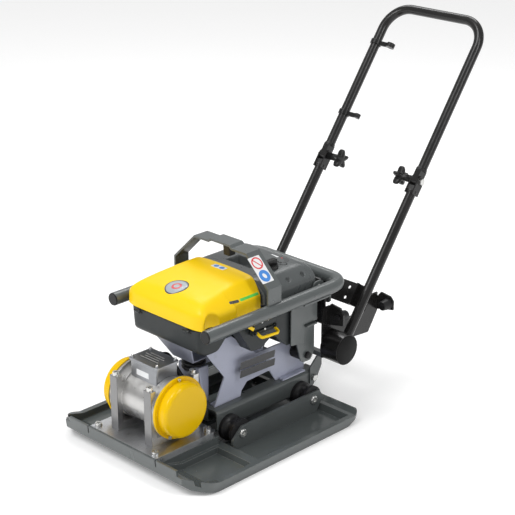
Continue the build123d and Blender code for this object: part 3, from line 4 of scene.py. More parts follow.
import bpy
import numpy as np
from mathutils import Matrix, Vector


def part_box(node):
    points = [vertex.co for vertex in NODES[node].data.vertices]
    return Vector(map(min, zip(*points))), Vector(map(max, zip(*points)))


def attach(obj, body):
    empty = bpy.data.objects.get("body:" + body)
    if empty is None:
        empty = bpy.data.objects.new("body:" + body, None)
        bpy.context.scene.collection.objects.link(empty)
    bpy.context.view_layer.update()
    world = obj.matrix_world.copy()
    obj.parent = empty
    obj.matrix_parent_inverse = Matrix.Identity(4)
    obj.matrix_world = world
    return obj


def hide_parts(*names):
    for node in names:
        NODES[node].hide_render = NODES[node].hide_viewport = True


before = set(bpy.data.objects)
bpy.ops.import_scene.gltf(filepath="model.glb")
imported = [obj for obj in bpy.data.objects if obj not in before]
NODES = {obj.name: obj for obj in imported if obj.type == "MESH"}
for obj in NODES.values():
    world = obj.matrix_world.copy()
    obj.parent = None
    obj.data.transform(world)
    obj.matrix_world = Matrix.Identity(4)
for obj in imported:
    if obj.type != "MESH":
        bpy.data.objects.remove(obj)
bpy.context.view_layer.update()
MM = 0.001

# ---------------------------------------------------------------- materials
# Each material is a small node tree: a shader, a bevel node that rounds hard edges,
# and fine procedural detail.


class Shader:
    """A principled material with helpers that add procedural detail to it."""

    def __init__(self, name, color, roughness, metallic=0.0, edge=0.8, coat=0.0, specular=0.5):
        self.material = bpy.data.materials.new(name)
        self.material.use_nodes = True
        self.tree = self.material.node_tree
        self.shader = self.tree.nodes["Principled BSDF"]
        self.color = (*color, 1.0)
        self.shader.inputs["Base Color"].default_value = self.color
        self.shader.inputs["Roughness"].default_value = roughness
        self.shader.inputs["Metallic"].default_value = metallic
        self.shader.inputs["Specular IOR Level"].default_value = specular
        self.shader.inputs["Coat Weight"].default_value = coat
        self.shader.inputs["Coat Roughness"].default_value = 0.15
        self.material.diffuse_color = self.color
        self.place = self.add("ShaderNodeTexCoord").outputs["Object"]
        bevel = self.add("ShaderNodeBevel")
        bevel.samples = 4
        bevel.inputs["Radius"].default_value = edge * MM
        self.normal = bevel.outputs["Normal"]
        self.soft_normal = bevel.outputs["Normal"]
        self.link(self.normal, self.shader.inputs["Normal"])

    def add(self, kind):
        return self.tree.nodes.new(kind)

    def link(self, source, target):
        self.tree.links.new(source, target)

    def noise(self, scale, detail=4.0, stretch=None, roughness=0.55):
        """A noise value over the object's own coordinates; `stretch` scales each axis."""
        texture = self.add("ShaderNodeTexNoise")
        texture.inputs["Scale"].default_value = scale
        texture.inputs["Detail"].default_value = detail
        texture.inputs["Roughness"].default_value = roughness
        source = self.place
        if stretch:
            mapping = self.add("ShaderNodeMapping")
            mapping.inputs["Scale"].default_value = stretch
            self.link(self.place, mapping.inputs["Vector"])
            source = mapping.outputs["Vector"]
        self.link(source, texture.inputs["Vector"])
        return texture.outputs["Fac"]

    def cells(self, scale):
        texture = self.add("ShaderNodeTexVoronoi")
        texture.inputs["Scale"].default_value = scale
        self.link(self.place, texture.inputs["Vector"])
        return texture.outputs["Distance"]

    def remap(self, value, low, high, out_low, out_high):
        node = self.add("ShaderNodeMapRange")
        node.inputs["From Min"].default_value = low
        node.inputs["From Max"].default_value = high
        node.inputs["To Min"].default_value = out_low
        node.inputs["To Max"].default_value = out_high
        self.link(value, node.inputs["Value"])
        return node.outputs["Result"]

    def tint(self, factor, other):
        """Mixes another colour into the base colour where `factor` is high."""
        node = self.add("ShaderNodeMix")
        node.data_type = "RGBA"
        socket = self.shader.inputs["Base Color"]
        if socket.is_linked:
            self.link(socket.links[0].from_socket, node.inputs["A"])
        else:
            node.inputs["A"].default_value = self.color
        node.inputs["B"].default_value = (*other, 1.0)
        self.link(factor, node.inputs["Factor"])
        self.link(node.outputs["Result"], socket)
        return self

    def rough(self, value, low, high):
        self.link(self.remap(value, 0.3, 0.7, low, high), self.shader.inputs["Roughness"])
        return self

    def bump(self, value, height, strength=0.5):
        node = self.add("ShaderNodeBump")
        node.inputs["Strength"].default_value = strength
        node.inputs["Distance"].default_value = height * MM
        self.link(value, node.inputs["Height"])
        self.link(self.normal, node.inputs["Normal"])
        self.normal = node.outputs["Normal"]
        self.link(self.normal, self.shader.inputs["Normal"])
        return self

    def edges(self, low=0.03, high=0.25):
        """1 along sharp edges, from how far the rounded normal leans from the true one."""
        true = self.add("ShaderNodeNewGeometry").outputs["Normal"]
        dot = self.add("ShaderNodeVectorMath")
        dot.operation = "DOT_PRODUCT"
        self.link(self.soft_normal, dot.inputs[0])
        self.link(true, dot.inputs[1])
        return self.remap(dot.outputs["Value"], 1.0 - low, 1.0 - high, 0.0, 1.0)

    def product(self, first, second):
        node = self.add("ShaderNodeMath")
        node.operation = "MULTIPLY"
        self.link(first, node.inputs[0])
        self.link(second, node.inputs[1])
        return node.outputs["Value"]


def satin_paint(name, color, roughness=0.34, wear=(0.30, 0.31, 0.31), dust=(0.11, 0.106, 0.098)):
    """Sprayed satin paint: orange peel, slight colour drift, lighter edges and a little dust."""
    m = Shader(name, color, roughness, edge=1.2, coat=0.25)
    drift = m.noise(7.0, 5.0)
    m.tint(m.remap(drift, 0.35, 0.75, 0.0, 0.22), tuple(min(1.0, c * 1.45 + 0.004) for c in color))
    specks = m.remap(m.noise(55.0, 6.0), 0.60, 0.74, 0.0, 0.30)
    m.tint(m.product(specks, m.remap(drift, 0.4, 0.7, 0.3, 1.0)), dust)
    m.tint(m.product(m.edges(), m.remap(m.noise(38.0, 3.0), 0.42, 0.68, 0.0, 0.55)), wear)
    m.rough(m.noise(24.0, 3.0), roughness - 0.07, roughness + 0.10)
    m.bump(m.noise(420.0, 2.0), 0.10, 0.35)
    return m.material


def moulded_plastic(name, color, roughness=0.38, grain=900.0, grain_height=0.06, lighter=1.25, specular=0.4,
                    soil=(0.35, 0.33, 0.30)):
    """Injection-moulded plastic: fine grain, faint flow marks and softly worn edges."""
    m = Shader(name, color, roughness, edge=1.6, specular=specular)
    m.tint(m.remap(m.noise(5.0, 4.0), 0.35, 0.75, 0.0, 0.25), tuple(min(1.0, c * lighter) for c in color))
    m.tint(m.remap(m.noise(90.0, 5.0), 0.62, 0.80, 0.0, 0.12), soil)
    m.rough(m.noise(30.0, 3.0), roughness - 0.05, roughness + 0.08)
    m.bump(m.noise(grain, 1.0), grain_height, 0.30)
    m.bump(m.noise(12.0, 2.0), 0.35, 0.15)
    return m.material


def cast_aluminium(name, color=(0.60, 0.595, 0.585), roughness=0.33, height=0.06, painted_shade_front=None):
    """Cast aluminium with duller patches; in front of the given y a darker tint is painted on as shade, in
    place of a darker reflection.
    """
    m = Shader(name, color, roughness, metallic=1.0, edge=1.4)
    m.tint(m.remap(m.noise(14.0, 6.0), 0.45, 0.80, 0.0, 0.30), tuple(c * 0.70 for c in color))
    m.tint(m.product(m.edges(), m.remap(m.noise(60.0, 3.0), 0.35, 0.60, 0.0, 0.7)), (0.85, 0.86, 0.88))
    m.rough(m.noise(60.0, 4.0), roughness - 0.06, roughness + 0.08)
    m.bump(m.noise(260.0, 4.0), height, 0.35)
    m.bump(m.cells(700.0), 0.03, 0.20)
    # painted shade: faces in front of the given y are tinted darker, standing in for the darker reflection
    # those faces should show
    if painted_shade_front is not None:
        split = m.add("ShaderNodeSeparateXYZ")
        m.link(m.place, split.inputs["Vector"])
        painted_shade_mask = m.remap(split.outputs["Y"], painted_shade_front + 0.5 * MM, painted_shade_front - 0.5 * MM, 0.0, 0.8)
        m.tint(painted_shade_mask, (0.19, 0.19, 0.195))
    return m.material


def brushed_metal(name, color=(0.66, 0.67, 0.69), roughness=0.28, stretch=(1.0, 1.0, 30.0), scale=40.0):
    """Machined or rolled metal with fine lines along one direction."""
    m = Shader(name, color, roughness, metallic=1.0, edge=0.9)
    lines = m.noise(scale, 3.0, stretch)
    m.tint(m.remap(lines, 0.35, 0.70, 0.0, 0.45), tuple(c * 0.62 for c in color))
    m.tint(m.remap(m.noise(9.0, 5.0), 0.45, 0.80, 0.0, 0.35), tuple(c * 0.75 for c in color))
    m.rough(lines, roughness - 0.08, roughness + 0.16)
    m.bump(lines, 0.05, 0.30)
    return m.material


def zinc_plate(name):
    m = Shader(name, (0.70, 0.70, 0.68), 0.26, metallic=1.0, edge=0.6)
    m.tint(m.remap(m.noise(80.0, 4.0), 0.45, 0.75, 0.0, 0.5), (0.45, 0.46, 0.49))
    m.rough(m.noise(150.0, 3.0), 0.18, 0.42)
    m.bump(m.noise(500.0, 2.0), 0.04, 0.3)
    return m.material


def rubber(name, color=(0.009, 0.009, 0.010), roughness=0.46):
    m = Shader(name, color, roughness, edge=1.0, specular=0.35)
    m.tint(m.remap(m.noise(18.0, 5.0), 0.45, 0.80, 0.0, 0.35), (0.026, 0.026, 0.027))
    m.tint(m.remap(m.noise(70.0, 5.0), 0.62, 0.78, 0.0, 0.25), (0.05, 0.048, 0.045))
    m.rough(m.noise(40.0, 3.0), roughness - 0.12, roughness + 0.14)
    m.bump(m.noise(600.0, 3.0), 0.08, 0.35)
    return m.material


def powder_coat(name, color=(0.0105, 0.0100, 0.0100), roughness=0.20):
    """Glossy black powder coat: a faint orange peel and a little grey at worn edges."""
    m = Shader(name, color, roughness, edge=1.0, specular=0.42, coat=0.0)
    m.tint(m.remap(m.noise(9.0, 4.0), 0.45, 0.80, 0.0, 0.3), (0.018, 0.017, 0.016))
    m.tint(m.product(m.edges(), m.remap(m.noise(30.0, 3.0), 0.50, 0.70, 0.0, 0.35)), (0.10, 0.095, 0.09))
    m.rough(m.noise(20.0, 3.0), roughness - 0.03, roughness + 0.08)
    m.bump(m.noise(300.0, 2.0), 0.03, 0.20)
    return m.material


def printed_film(name, color, roughness=0.30):
    """Label film: nearly even ink under a thin clear layer."""
    m = Shader(name, color, roughness, edge=0.1, coat=0.5)
    m.tint(m.remap(m.noise(60.0, 3.0), 0.5, 0.8, 0.0, 0.12), tuple(c * 0.85 for c in color))
    m.bump(m.noise(300.0, 2.0), 0.02, 0.2)
    return m.material


def cast_iron_paint(name, color):
    """Thick paint over an iron casting: coarse skin, scattered patches of dust, rubbed edges."""
    m = Shader(name, color, 0.24, edge=3.2, coat=0.35)
    m.tint(m.remap(m.noise(6.0, 4.0), 0.35, 0.75, 0.0, 0.25), tuple(c * 1.35 for c in color))
    m.tint(m.remap(m.noise(75.0, 5.0), 0.62, 0.80, 0.0, 0.06), (0.13, 0.128, 0.12))
    m.tint(m.product(m.edges(), m.remap(m.noise(18.0, 3.0), 0.30, 0.60, 0.1, 0.5)), (0.27, 0.285, 0.285))
    m.rough(m.noise(14.0, 3.0), 0.17, 0.28)
    m.bump(m.noise(150.0, 3.0), 0.025, 0.2)
    m.bump(m.noise(9.0, 2.0), 0.35, 0.10)
    return m.material


GREY = (0.084, 0.094, 0.094)
# the exciter legs' front 1.5 mm, which get a painted shade in the exciter's material
LEG_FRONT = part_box("exciter_housing")[0][1] + 1.5 * MM
YELLOW = (0.93, 0.61, 0.0015)
LILAC = (0.38, 0.40, 0.50)

base_paint = cast_iron_paint("base_paint", (0.080, 0.091, 0.091))
frame_paint = satin_paint("frame_paint", GREY)
console_paint = satin_paint("console_paint", LILAC, 0.46, wear=(0.42, 0.44, 0.50))
yellow_plastic = moulded_plastic("yellow_plastic", YELLOW, 0.40, lighter=1.05, specular=0.28,
                                 soil=(0.62, 0.38, 0.02))
yellow_cover = moulded_plastic("yellow_cover", (0.80, 0.50, 0.001), 0.16, grain_height=0.02, lighter=1.05,
                               specular=0.22, soil=(0.55, 0.30, 0.01))
dark_plastic = moulded_plastic("dark_plastic", (0.025, 0.029, 0.030), 0.34, specular=0.27,
                               soil=(0.085, 0.082, 0.078))
housing_plastic = moulded_plastic("housing_plastic", (0.080, 0.088, 0.089), 0.30, specular=0.5,
                                  soil=(0.10, 0.098, 0.092))
black_plastic = moulded_plastic("black_plastic", (0.008, 0.008, 0.008), 0.28, specular=0.32,
                                soil=(0.04, 0.038, 0.036))
matte_black = moulded_plastic("matte_black", (0.0055, 0.0055, 0.0055), 0.5, specular=0.14,
                              soil=(0.03, 0.029, 0.028))
black_coat = powder_coat("black_coat")
black_rubber = rubber("black_rubber")
aluminium = cast_aluminium("cast_aluminium")
# the exciter's aluminium, with a painted shade on the legs' front faces
exciter_aluminium = cast_aluminium("exciter_aluminium", painted_shade_front=LEG_FRONT)
dull_aluminium = cast_aluminium("dull_aluminium", (0.36, 0.37, 0.39), 0.42)
plate_aluminium = brushed_metal("plate_aluminium", (0.60, 0.61, 0.63), 0.34, (30.0, 1.0, 1.0), 30.0)
steel = brushed_metal("ground_steel")
zinc = zinc_plate("zinc_plate")
iron = satin_paint("dark_iron", (0.045, 0.045, 0.046), 0.5)
copper = brushed_metal("wound_copper", (0.72, 0.32, 0.14), 0.30, (40.0, 1.0, 1.0))
panel_film = printed_film("panel_film", (0.030, 0.033, 0.036))
grey_print = printed_film("grey_print", (0.060, 0.066, 0.072))
black_print = printed_film("black_print", (0.014, 0.015, 0.017), 0.5)
silver_print = printed_film("silver_print", (0.36, 0.40, 0.42))
white_print = printed_film("white_print", (0.80, 0.81, 0.82))
red_print = printed_film("red_print", (0.70, 0.055, 0.060))
blue_print = printed_film("blue_print", (0.055, 0.24, 0.66))
green_print = printed_film("green_print", (0.10, 0.62, 0.09))

FINISH = {
    "base_plate": base_paint, "exciter_plate": plate_aluminium,
    "exciter_housing": exciter_aluminium, "terminal_box": dull_aluminium, "terminal_cover": dull_aluminium,
    "inverter": dull_aluminium, "end_cover_left": yellow_cover, "end_cover_right": yellow_cover,
    "hood": yellow_plastic, "latch_lever_left": yellow_plastic, "latch_lever_right": yellow_plastic,
    "stator": copper, "rotor": iron, "eccentric_weights": iron, "control_panel": panel_film,
}
for finish, names in (
    (frame_paint, ("side_brackets", "channels", "cross_members", "rear_mount_brackets", "guard_rail",
                   "rail_supports", "carrier_bar", "lifting_bar")),
    (console_paint, ("console_plates", "console_front_panel", "front_mount_bracket")),
    (black_rubber, ("rubber_spools", "pivot_bushes", "front_tray_mount", "rear_tray_mounts", "bar_pad",
                    "ear_pads", "stop_buffers", "motor_cable")),
    (zinc, ("spool_screws", "exciter_plate_screws", "exciter_leg_screws", "end_cover_screws", "rail_bolts",
            "carrier_bolts", "fold_pins")),
    (steel, ("pivot_pins", "exciter_shaft", "exciter_bearings")),
    (dark_plastic, ("tray", "electronics_case", "control_housing", "latch_bodies", "battery_pack")),
    (black_coat, ("handle_lower", "handle_upper", "rear_cross_plate", "stop_brackets")),
    (black_plastic, ("rotary_switch", "star_knob_left", "star_knob_right", "handle_clips", "rail_caps",
                     "cable_gland")),
):
    for name in names:
        FINISH[name] = finish

for name, node in NODES.items():
    for slot in node.material_slots:
        slot.material = FINISH[name]

# ---------------------------------------------------------------- building pieces


def new_object(name, mesh, material, body):
    """A piece from a mesh whose points are in metres in the row frame, riding on a CAD body."""
    piece = bpy.data.objects.new(name, mesh)
    bpy.context.scene.collection.objects.link(piece)
    mesh.materials.append(material)
    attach(piece, body)
    return piece


def mesh_of(name, points, faces, smooth=True):
    """A mesh from points in millimetres."""
    mesh = bpy.data.meshes.new(name)
    mesh.from_pydata([tuple(c * MM for c in p) for p in points], [], faces)
    mesh.validate()
    for polygon in mesh.polygons:
        polygon.use_smooth = smooth
    return mesh


def add_bevel(piece, width, segments=3, angle=30):
    bevel = piece.modifiers.new("bevel", "BEVEL")
    bevel.width = width * MM
    bevel.segments = segments
    bevel.limit_method = "ANGLE"
    bevel.angle_limit = math.radians(angle)
    return piece


def smooth_max(parts, soft):
    """The largest of several fields, with the creases between them rounded."""
    stack = np.stack(np.broadcast_arrays(*parts))
    peak = stack.max(axis=0)
    return peak + soft * np.log(np.exp((stack - peak) / soft).sum(axis=0))


def ray_distances(field, centre, directions, reach):
    """How far along each direction the field's outermost surface lies from the centre."""
    steps = 260
    far = np.full(directions.shape[:-1], float(reach))
    near = np.zeros_like(far)
    found = np.zeros(far.shape, dtype=bool)
    for step in range(steps):
        distance = reach * (1 - (step + 1) / steps)
        x, y, z = (centre[i] + directions[..., i] * distance for i in range(3))
        inside = (field(x, y, z) < 0) & ~found
        near[inside] = distance
        far[inside] = distance + reach / steps
        found |= inside
    for _ in range(18):
        middle = (near + far) / 2
        x, y, z = (centre[i] + directions[..., i] * middle for i in range(3))
        inside = field(x, y, z) < 0
        near = np.where(inside, middle, near)
        far = np.where(inside, far, middle)
    return (near + far) / 2


def moulded_shell(name, field, centre, half_x, half_y, height, body, material, wall=3.0, rings=100,
                  around=380, dents=None):
    """An open moulded shell: its outside is the field's zero surface, seen from a centre in its open face."""
    wall_share = 0.42
    reach = 330.0
    spread = 0.75
    turn = np.linspace(0, 2 * math.pi, around, endpoint=False)
    # spread the columns evenly over the sides of the box, not over the angle
    ex = np.sign(np.cos(turn)) * np.abs(np.cos(turn)) ** spread * half_x
    ey = np.sign(np.sin(turn)) * np.abs(np.sin(turn)) ** spread * half_y
    out = 1 / np.maximum(np.abs(ex) / half_x, np.abs(ey) / half_y)
    ex, ey = ex * out, ey * out
    share = np.linspace(0, 1, rings + 1)[:, None]
    rise = np.minimum(share / wall_share, 1) * height
    reach_in = 1 - np.clip((share - wall_share) / (1 - wall_share), 0, 1)
    aim = np.stack(np.broadcast_arrays(ex * reach_in, ey * reach_in, rise), axis=-1)
    directions = aim / np.linalg.norm(aim, axis=-1, keepdims=True)
    distance = ray_distances(field, centre, directions, reach)
    spots = np.array(centre) + directions * distance[..., None]
    if dents:
        spots = dents(spots)
    points = [tuple(p) for p in spots[:-1].reshape(-1, 3)] + [tuple(spots[-1].mean(axis=0))]
    faces = []
    flip = height < 0
    for ring in range(rings - 1):
        for column in range(around):
            a, b = ring * around + column, ring * around + (column + 1) % around
            quad = (a, b, b + around, a + around)
            faces.append(quad[::-1] if flip else quad)
    top = len(points) - 1
    last = (rings - 1) * around
    for column in range(around):
        fan = (last + column, last + (column + 1) % around, top)
        faces.append(fan[::-1] if flip else fan)
    piece = new_object(name, mesh_of(name, points, faces), material, body)
    solid = piece.modifiers.new("wall", "SOLIDIFY")
    solid.thickness = wall * MM
    solid.offset = -1.0
    return piece


def height_on(field, x, y, low, high):
    """The field's highest surface above the point (x, y), between two heights."""
    x, y = np.asarray(x, float), np.asarray(y, float)
    low, high = np.full(x.shape, float(low)), np.full(x.shape, float(high))
    for _ in range(30):
        middle = (low + high) / 2
        inside = field(x, y, middle) < 0
        low = np.where(inside, middle, low)
        high = np.where(inside, high, middle)
    return high


def draped_patch(name, field, outline, material, body, lift=0.35, low=345.0, high=430.0, rings=8):
    """A thin film on a moulded shell: `outline` is its edge in plan, filled with rings towards its middle."""
    edge = np.array(outline, float)
    middle = edge.mean(axis=0)
    points, faces = [], []
    count = len(edge)
    for ring in range(rings):
        spots = middle + (edge - middle) * (1 - ring / rings)
        z = height_on(field, spots[:, 0], spots[:, 1], low, high) + lift
        if ring == 0:
            points += [(p[0], p[1], h - lift - 0.2) for p, h in zip(spots, z)]
        points += [(p[0], p[1], h) for p, h in zip(spots, z)]
    z = height_on(field, middle[:1], middle[1:], low, high) + lift
    points.append((middle[0], middle[1], z[0]))
    for ring in range(rings):
        for i in range(count):
            a, b = ring * count + i, ring * count + (i + 1) % count
            faces.append((a, b, b + count, a + count))
    top = len(points) - 1
    for i in range(count):
        faces.append((rings * count + i, rings * count + (i + 1) % count, top))
    return new_object(name, mesh_of(name, points, faces), material, body)


def ellipse(cx, cy, rx, ry, turn=0.0, count=48):
    """Points round an ellipse in plan, turned by `turn` degrees."""
    c, s = math.cos(math.radians(turn)), math.sin(math.radians(turn))
    spots = []
    for i in range(count):
        a = 2 * math.pi * i / count
        u, v = rx * math.cos(a), ry * math.sin(a)
        spots.append((cx + u * c - v * s, cy + u * s + v * c))
    return spots


def rounded_box(cx, cy, w, h, r, turn=0.0, per_corner=6):
    """Points round a rounded rectangle in plan."""
    c, s = math.cos(math.radians(turn)), math.sin(math.radians(turn))
    spots = []
    for quarter, (sx, sy) in enumerate(((1, 1), (-1, 1), (-1, -1), (1, -1))):
        for i in range(per_corner + 1):
            a = math.pi / 2 * (quarter + i / per_corner)
            u, v = sx * (w / 2 - r) + r * math.cos(a), sy * (h / 2 - r) + r * math.sin(a)
            spots.append((cx + u * c - v * s, cy + u * s + v * c))
    return spots


def flat_plate(name, outline, origin, right, up, thickness, material, body, bevel=0.0):
    """A plate with the outline given in its own plane, standing `thickness` proud along right x up."""
    right, up = Vector(right).normalized(), Vector(up).normalized()
    out = right.cross(up)
    count = len(outline)
    points = []
    for level in (0.0, thickness):
        for u, v in outline:
            points.append(tuple(Vector(origin) + right * u + up * v + out * level))
    faces = [tuple(range(count))[::-1], tuple(range(count, 2 * count))]
    for i in range(count):
        j = (i + 1) % count
        faces.append((i, j, j + count, i + count))
    piece = new_object(name, mesh_of(name, points, faces, smooth=False), material, body)
    if bevel:
        add_bevel(piece, bevel)
    return piece


def flat_ring(name, outer, inner, origin, right, up, thickness, material, body, count=56):
    """A flat ring, standing proud of its plane."""
    right, up = Vector(right).normalized(), Vector(up).normalized()
    out = right.cross(up)
    points, faces = [], []
    for i in range(count):
        a = 2 * math.pi * i / count
        spoke = right * math.cos(a) + up * math.sin(a)
        for radius, level in ((outer, 0.0), (outer, thickness), (inner, thickness), (inner, 0.0)):
            points.append(tuple(Vector(origin) + spoke * radius + out * level))
    for i in range(count):
        a, b = 4 * i, 4 * ((i + 1) % count)
        for k in range(3):
            faces.append((a + k, b + k, b + k + 1, a + k + 1))
    return new_object(name, mesh_of(name, points, faces, smooth=False), material, body)


def turned(name, profile, origin, axis, material, body, count=64):
    """A solid of revolution: `profile` is (radius, along) pairs from one end to the other."""
    axis = Vector(axis).normalized()
    side = axis.orthogonal().normalized()
    other = axis.cross(side)
    points, faces = [], []
    for radius, along in profile:
        for i in range(count):
            a = 2 * math.pi * i / count
            spoke = side * math.cos(a) + other * math.sin(a)
            points.append(tuple(Vector(origin) + spoke * radius + axis * along))
    for ring in range(len(profile) - 1):
        for i in range(count):
            a, b = ring * count + i, ring * count + (i + 1) % count
            faces.append((a, b, b + count, a + count))
    faces.append(tuple(range(count))[::-1])
    faces.append(tuple(range((len(profile) - 1) * count, len(profile) * count)))
    mesh = mesh_of(name, points, faces)
    mesh.polygons[len(mesh.polygons) - 1].use_smooth = False
    mesh.polygons[len(mesh.polygons) - 2].use_smooth = False
    return new_object(name, mesh, material, body)


# ---------------------------------------------------------------- sizes taken from the frame


def box_mm(node):
    low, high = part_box(node)
    return [c / MM for c in low], [c / MM for c in high]


HOUSING_LOW, HOUSING_HIGH = box_mm("control_housing")
TRAY_LOW, TRAY_HIGH = box_mm("tray")
HOOD_HALF = box_mm("hood")[1][0]
HOOD_REAR = box_mm("hood")[1][1]
HOOD_TOP = box_mm("hood")[1][2] - 1.0
HOOD_FRONT = box_mm("hood")[0][1] + 6.0
HOOD_RIM = TRAY_HIGH[2] + 3.0
BOX_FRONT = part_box("terminal_box")[0][1] / MM


def hood_field(x, y, z):
    """Negative inside the hood: crowned, with chamfered front corners, scoops and recessed rear sides."""
    ax = np.abs(x)
    rise = z - HOOD_RIM
    rear = y - (HOOD_REAR + 9.0 - 12.0 * (ax / HOOD_HALF) ** 4)
    walls = smooth_max((ax - HOOD_HALF + 0.04 * rise, -(y - HOOD_FRONT) + 0.05 * rise, rear,
                        0.36 * (ax - 106.0) - 0.93 * (y - HOOD_FRONT) + 0.04 * rise), 2.6)
    back = HOOD_REAR + 4.0 - y
    top = z - (HOOD_TOP + 4.5 - 0.0004 * back ** 2 - 4e-9 * back ** 4 - 0.0003 * x * x)
    front_slope = -0.807 * (y - HOOD_FRONT - 19.0) + 0.59 * (z - HOOD_TOP + 14.0)
    text_slope = 0.766 * (ax - 127.5) + 0.643 * (z - HOOD_TOP + 38.0)
    shell = smooth_max((walls, smooth_max((top, front_slope, text_slope - 1.9), 4.2)), 2.2)
    from_scoop = ((ax - 147.0) / 30.0) ** 2 + ((y + 109.0) / 28.0) ** 2 + ((rise - 2.0) / 52.0) ** 2
    scoop = 30.0 * (1 - np.sqrt(from_scoop))
    recess = -smooth_max((126.0 - ax, -30.0 - y), 0.8)
    text_step = -smooth_max((-30.0 - y + 0.6 * (HOOD_TOP - 38.0 - z), -text_slope), 0.5)
    return smooth_max((shell, scoop, recess, text_step), 0.8)


def housing_field(x, y, z):
    """Negative inside the control housing: drafted walls, crowned top, long side bevels."""
    ax = np.abs(x)
    low_z, high_z = HOUSING_LOW[2], HOUSING_HIGH[2]
    walls = smooth_max((ax - HOUSING_HIGH[0] + 0.03 * (z - low_z), -(y - HOUSING_LOW[1]),
                        y - HOUSING_HIGH[1] + 0.05 * (z - low_z) + 0.0003 * x * x), 4.0)
    top = z - (high_z + 2.2 - 0.00012 * x * x)
    side_slope = 0.684 * (ax - 135.0) + 0.728 * (z - high_z + 31.0)
    rear_slope = 0.60 * (y - HOUSING_HIGH[1] + 12.0) + 0.80 * (z - high_z + 4.0)
    return smooth_max((walls, smooth_max((top, side_slope, rear_slope), 5.0)), 2.4)


def tray_field(x, y, z):
    """Negative inside the tray: drafted walls, a deep front well that slopes up to a shallow rear."""
    low_z, high_z = TRAY_LOW[2], TRAY_HIGH[2]
    front = HOOD_FRONT + 5.0
    walls = smooth_max((np.abs(x) - TRAY_HIGH[0] + 0.05 * (high_z - z), -(y - front) + 0.03 * (high_z - z),
                        y - TRAY_HIGH[1]), 5.0)
    chamfer = -0.571 * (y - front) - 0.821 * (z - low_z - 16.0)
    well = smooth_max((low_z - z, chamfer, 0.741 * (y + 71.0) - 0.671 * (z - low_z)), 3.0)
    return smooth_max((walls, -smooth_max((-well, z - low_z - 32.0), 3.0)), 2.5)


def pressed(points, cx, cy, half_x, half_y, floor, soft, low):
    """Push the part of a moulded top inside a rectangle down to a flat floor, with soft walls."""
    x, y, z = points[..., 0], points[..., 1], points[..., 2]
    inside = np.minimum(half_x - np.abs(x - cx), half_y - np.abs(y - cy))
    share = np.clip(inside / soft, 0, 1)
    share = share * share * (3 - 2 * share)
    down = np.where(z > low, z + (floor - z) * share, z)
    return np.stack((x, y, down), axis=-1)


def drilled(points, spot, normal, radius, depth, soft):
    """Push a round pit into a moulded shell along a direction."""
    spot, normal = np.array(spot), np.array(normal) / np.linalg.norm(normal)
    away = points - spot
    along = (away * normal).sum(axis=-1)
    across = np.sqrt(np.maximum((away ** 2).sum(axis=-1) - along ** 2, 0))
    share = np.clip((radius - across) / soft, 0, 1) * (np.abs(along) < 12.0)
    share = share * share * (3 - 2 * share)
    return points - normal * (depth * share)[..., None]


def path_frames(path):
    """A path's points, and the direction along it at each."""
    spots = [Vector(p) for p in path]
    count = len(spots)
    return spots, [(spots[min(i + 1, count - 1)] - spots[max(i - 1, 0)]).normalized() for i in range(count)]


def rounded_path(corners, radius, steps=6):
    """Corners joined by straight runs, each inner corner turned on an arc-like curve."""
    spots = [Vector(corners[0])]
    for before, corner, after in zip(corners, corners[1:], corners[2:]):
        before, corner, after = Vector(before), Vector(corner), Vector(after)
        reach = min(radius, (before - corner).length * 0.48, (after - corner).length * 0.48)
        start = corner + (before - corner).normalized() * reach
        end = corner + (after - corner).normalized() * reach
        for i in range(steps + 1):
            t = i / steps
            spots.append(start * (1 - t) ** 2 + corner * 2 * t * (1 - t) + end * t ** 2)
    spots.append(Vector(corners[-1]))
    return [tuple(s) for s in spots]


def swept_strap(name, path, up, width, thickness, material, body, bevel=0.8):
    """A flat strap along a path: `up` is the direction of its width."""
    spots, ways = path_frames(path)
    points, faces = [], []
    for spot, way in zip(spots, ways):
        side = Vector(up) - way * Vector(up).dot(way)
        side = side.normalized()
        out = way.cross(side)
        for u, v in ((1, 1), (-1, 1), (-1, -1), (1, -1)):
            points.append(tuple(spot + side * (u * width / 2) + out * (v * thickness / 2)))
    for i in range(len(spots) - 1):
        for k in range(4):
            a, b = 4 * i + k, 4 * i + (k + 1) % 4
            faces.append((a, b, b + 4, a + 4))
    faces.append((3, 2, 1, 0))
    end = 4 * (len(spots) - 1)
    faces.append((end, end + 1, end + 2, end + 3))
    piece = new_object(name, mesh_of(name, points, faces, smooth=False), material, body)
    if bevel:
        add_bevel(piece, bevel, 2)
        for polygon in piece.data.polygons:
            polygon.use_smooth = True
    return piece


# ---------------------------------------------------------------- hood, tray and control housing
hood_shell = moulded_shell("hood_shell", hood_field, (0, -42, HOOD_RIM), 134, 99, 72, "hood", yellow_plastic)
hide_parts("hood")


POCKET_Y = 126.0
POCKET_HALF_X, POCKET_HALF_Y = 42.0, 22.0
POCKET_DEPTH = 21.0
PIT_X, PIT_Z = 122.0, 378.4
PIT_ROWS = (152.0, 202.0)


def housing_dents(points):
    """The hand pocket behind the lifting bar, and two pits in each side bevel."""
    floor = HOUSING_HIGH[2] - POCKET_DEPTH
    points = pressed(points, 0, POCKET_Y, POCKET_HALF_X, POCKET_HALF_Y, floor, 3.0, floor + 1)
    for side in (-1, 1):
        for y in PIT_ROWS:
            points = drilled(points, (side * PIT_X, y, PIT_Z), (side * 0.684, 0, 0.728), 7.0, 7.0, 1.6)
    return points


control_shell = moulded_shell("control_shell", housing_field, (0, 153, HOUSING_LOW[2]), 135, 93, 55,
                              "machine", housing_plastic, dents=housing_dents, rings=130, around=460)
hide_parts("control_housing")
tray_shell = moulded_shell("tray_shell", tray_field, (0, -39, TRAY_HIGH[2]), 117, 97, -70, "machine",
                           dark_plastic, rings=70, around=300)
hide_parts("tray")

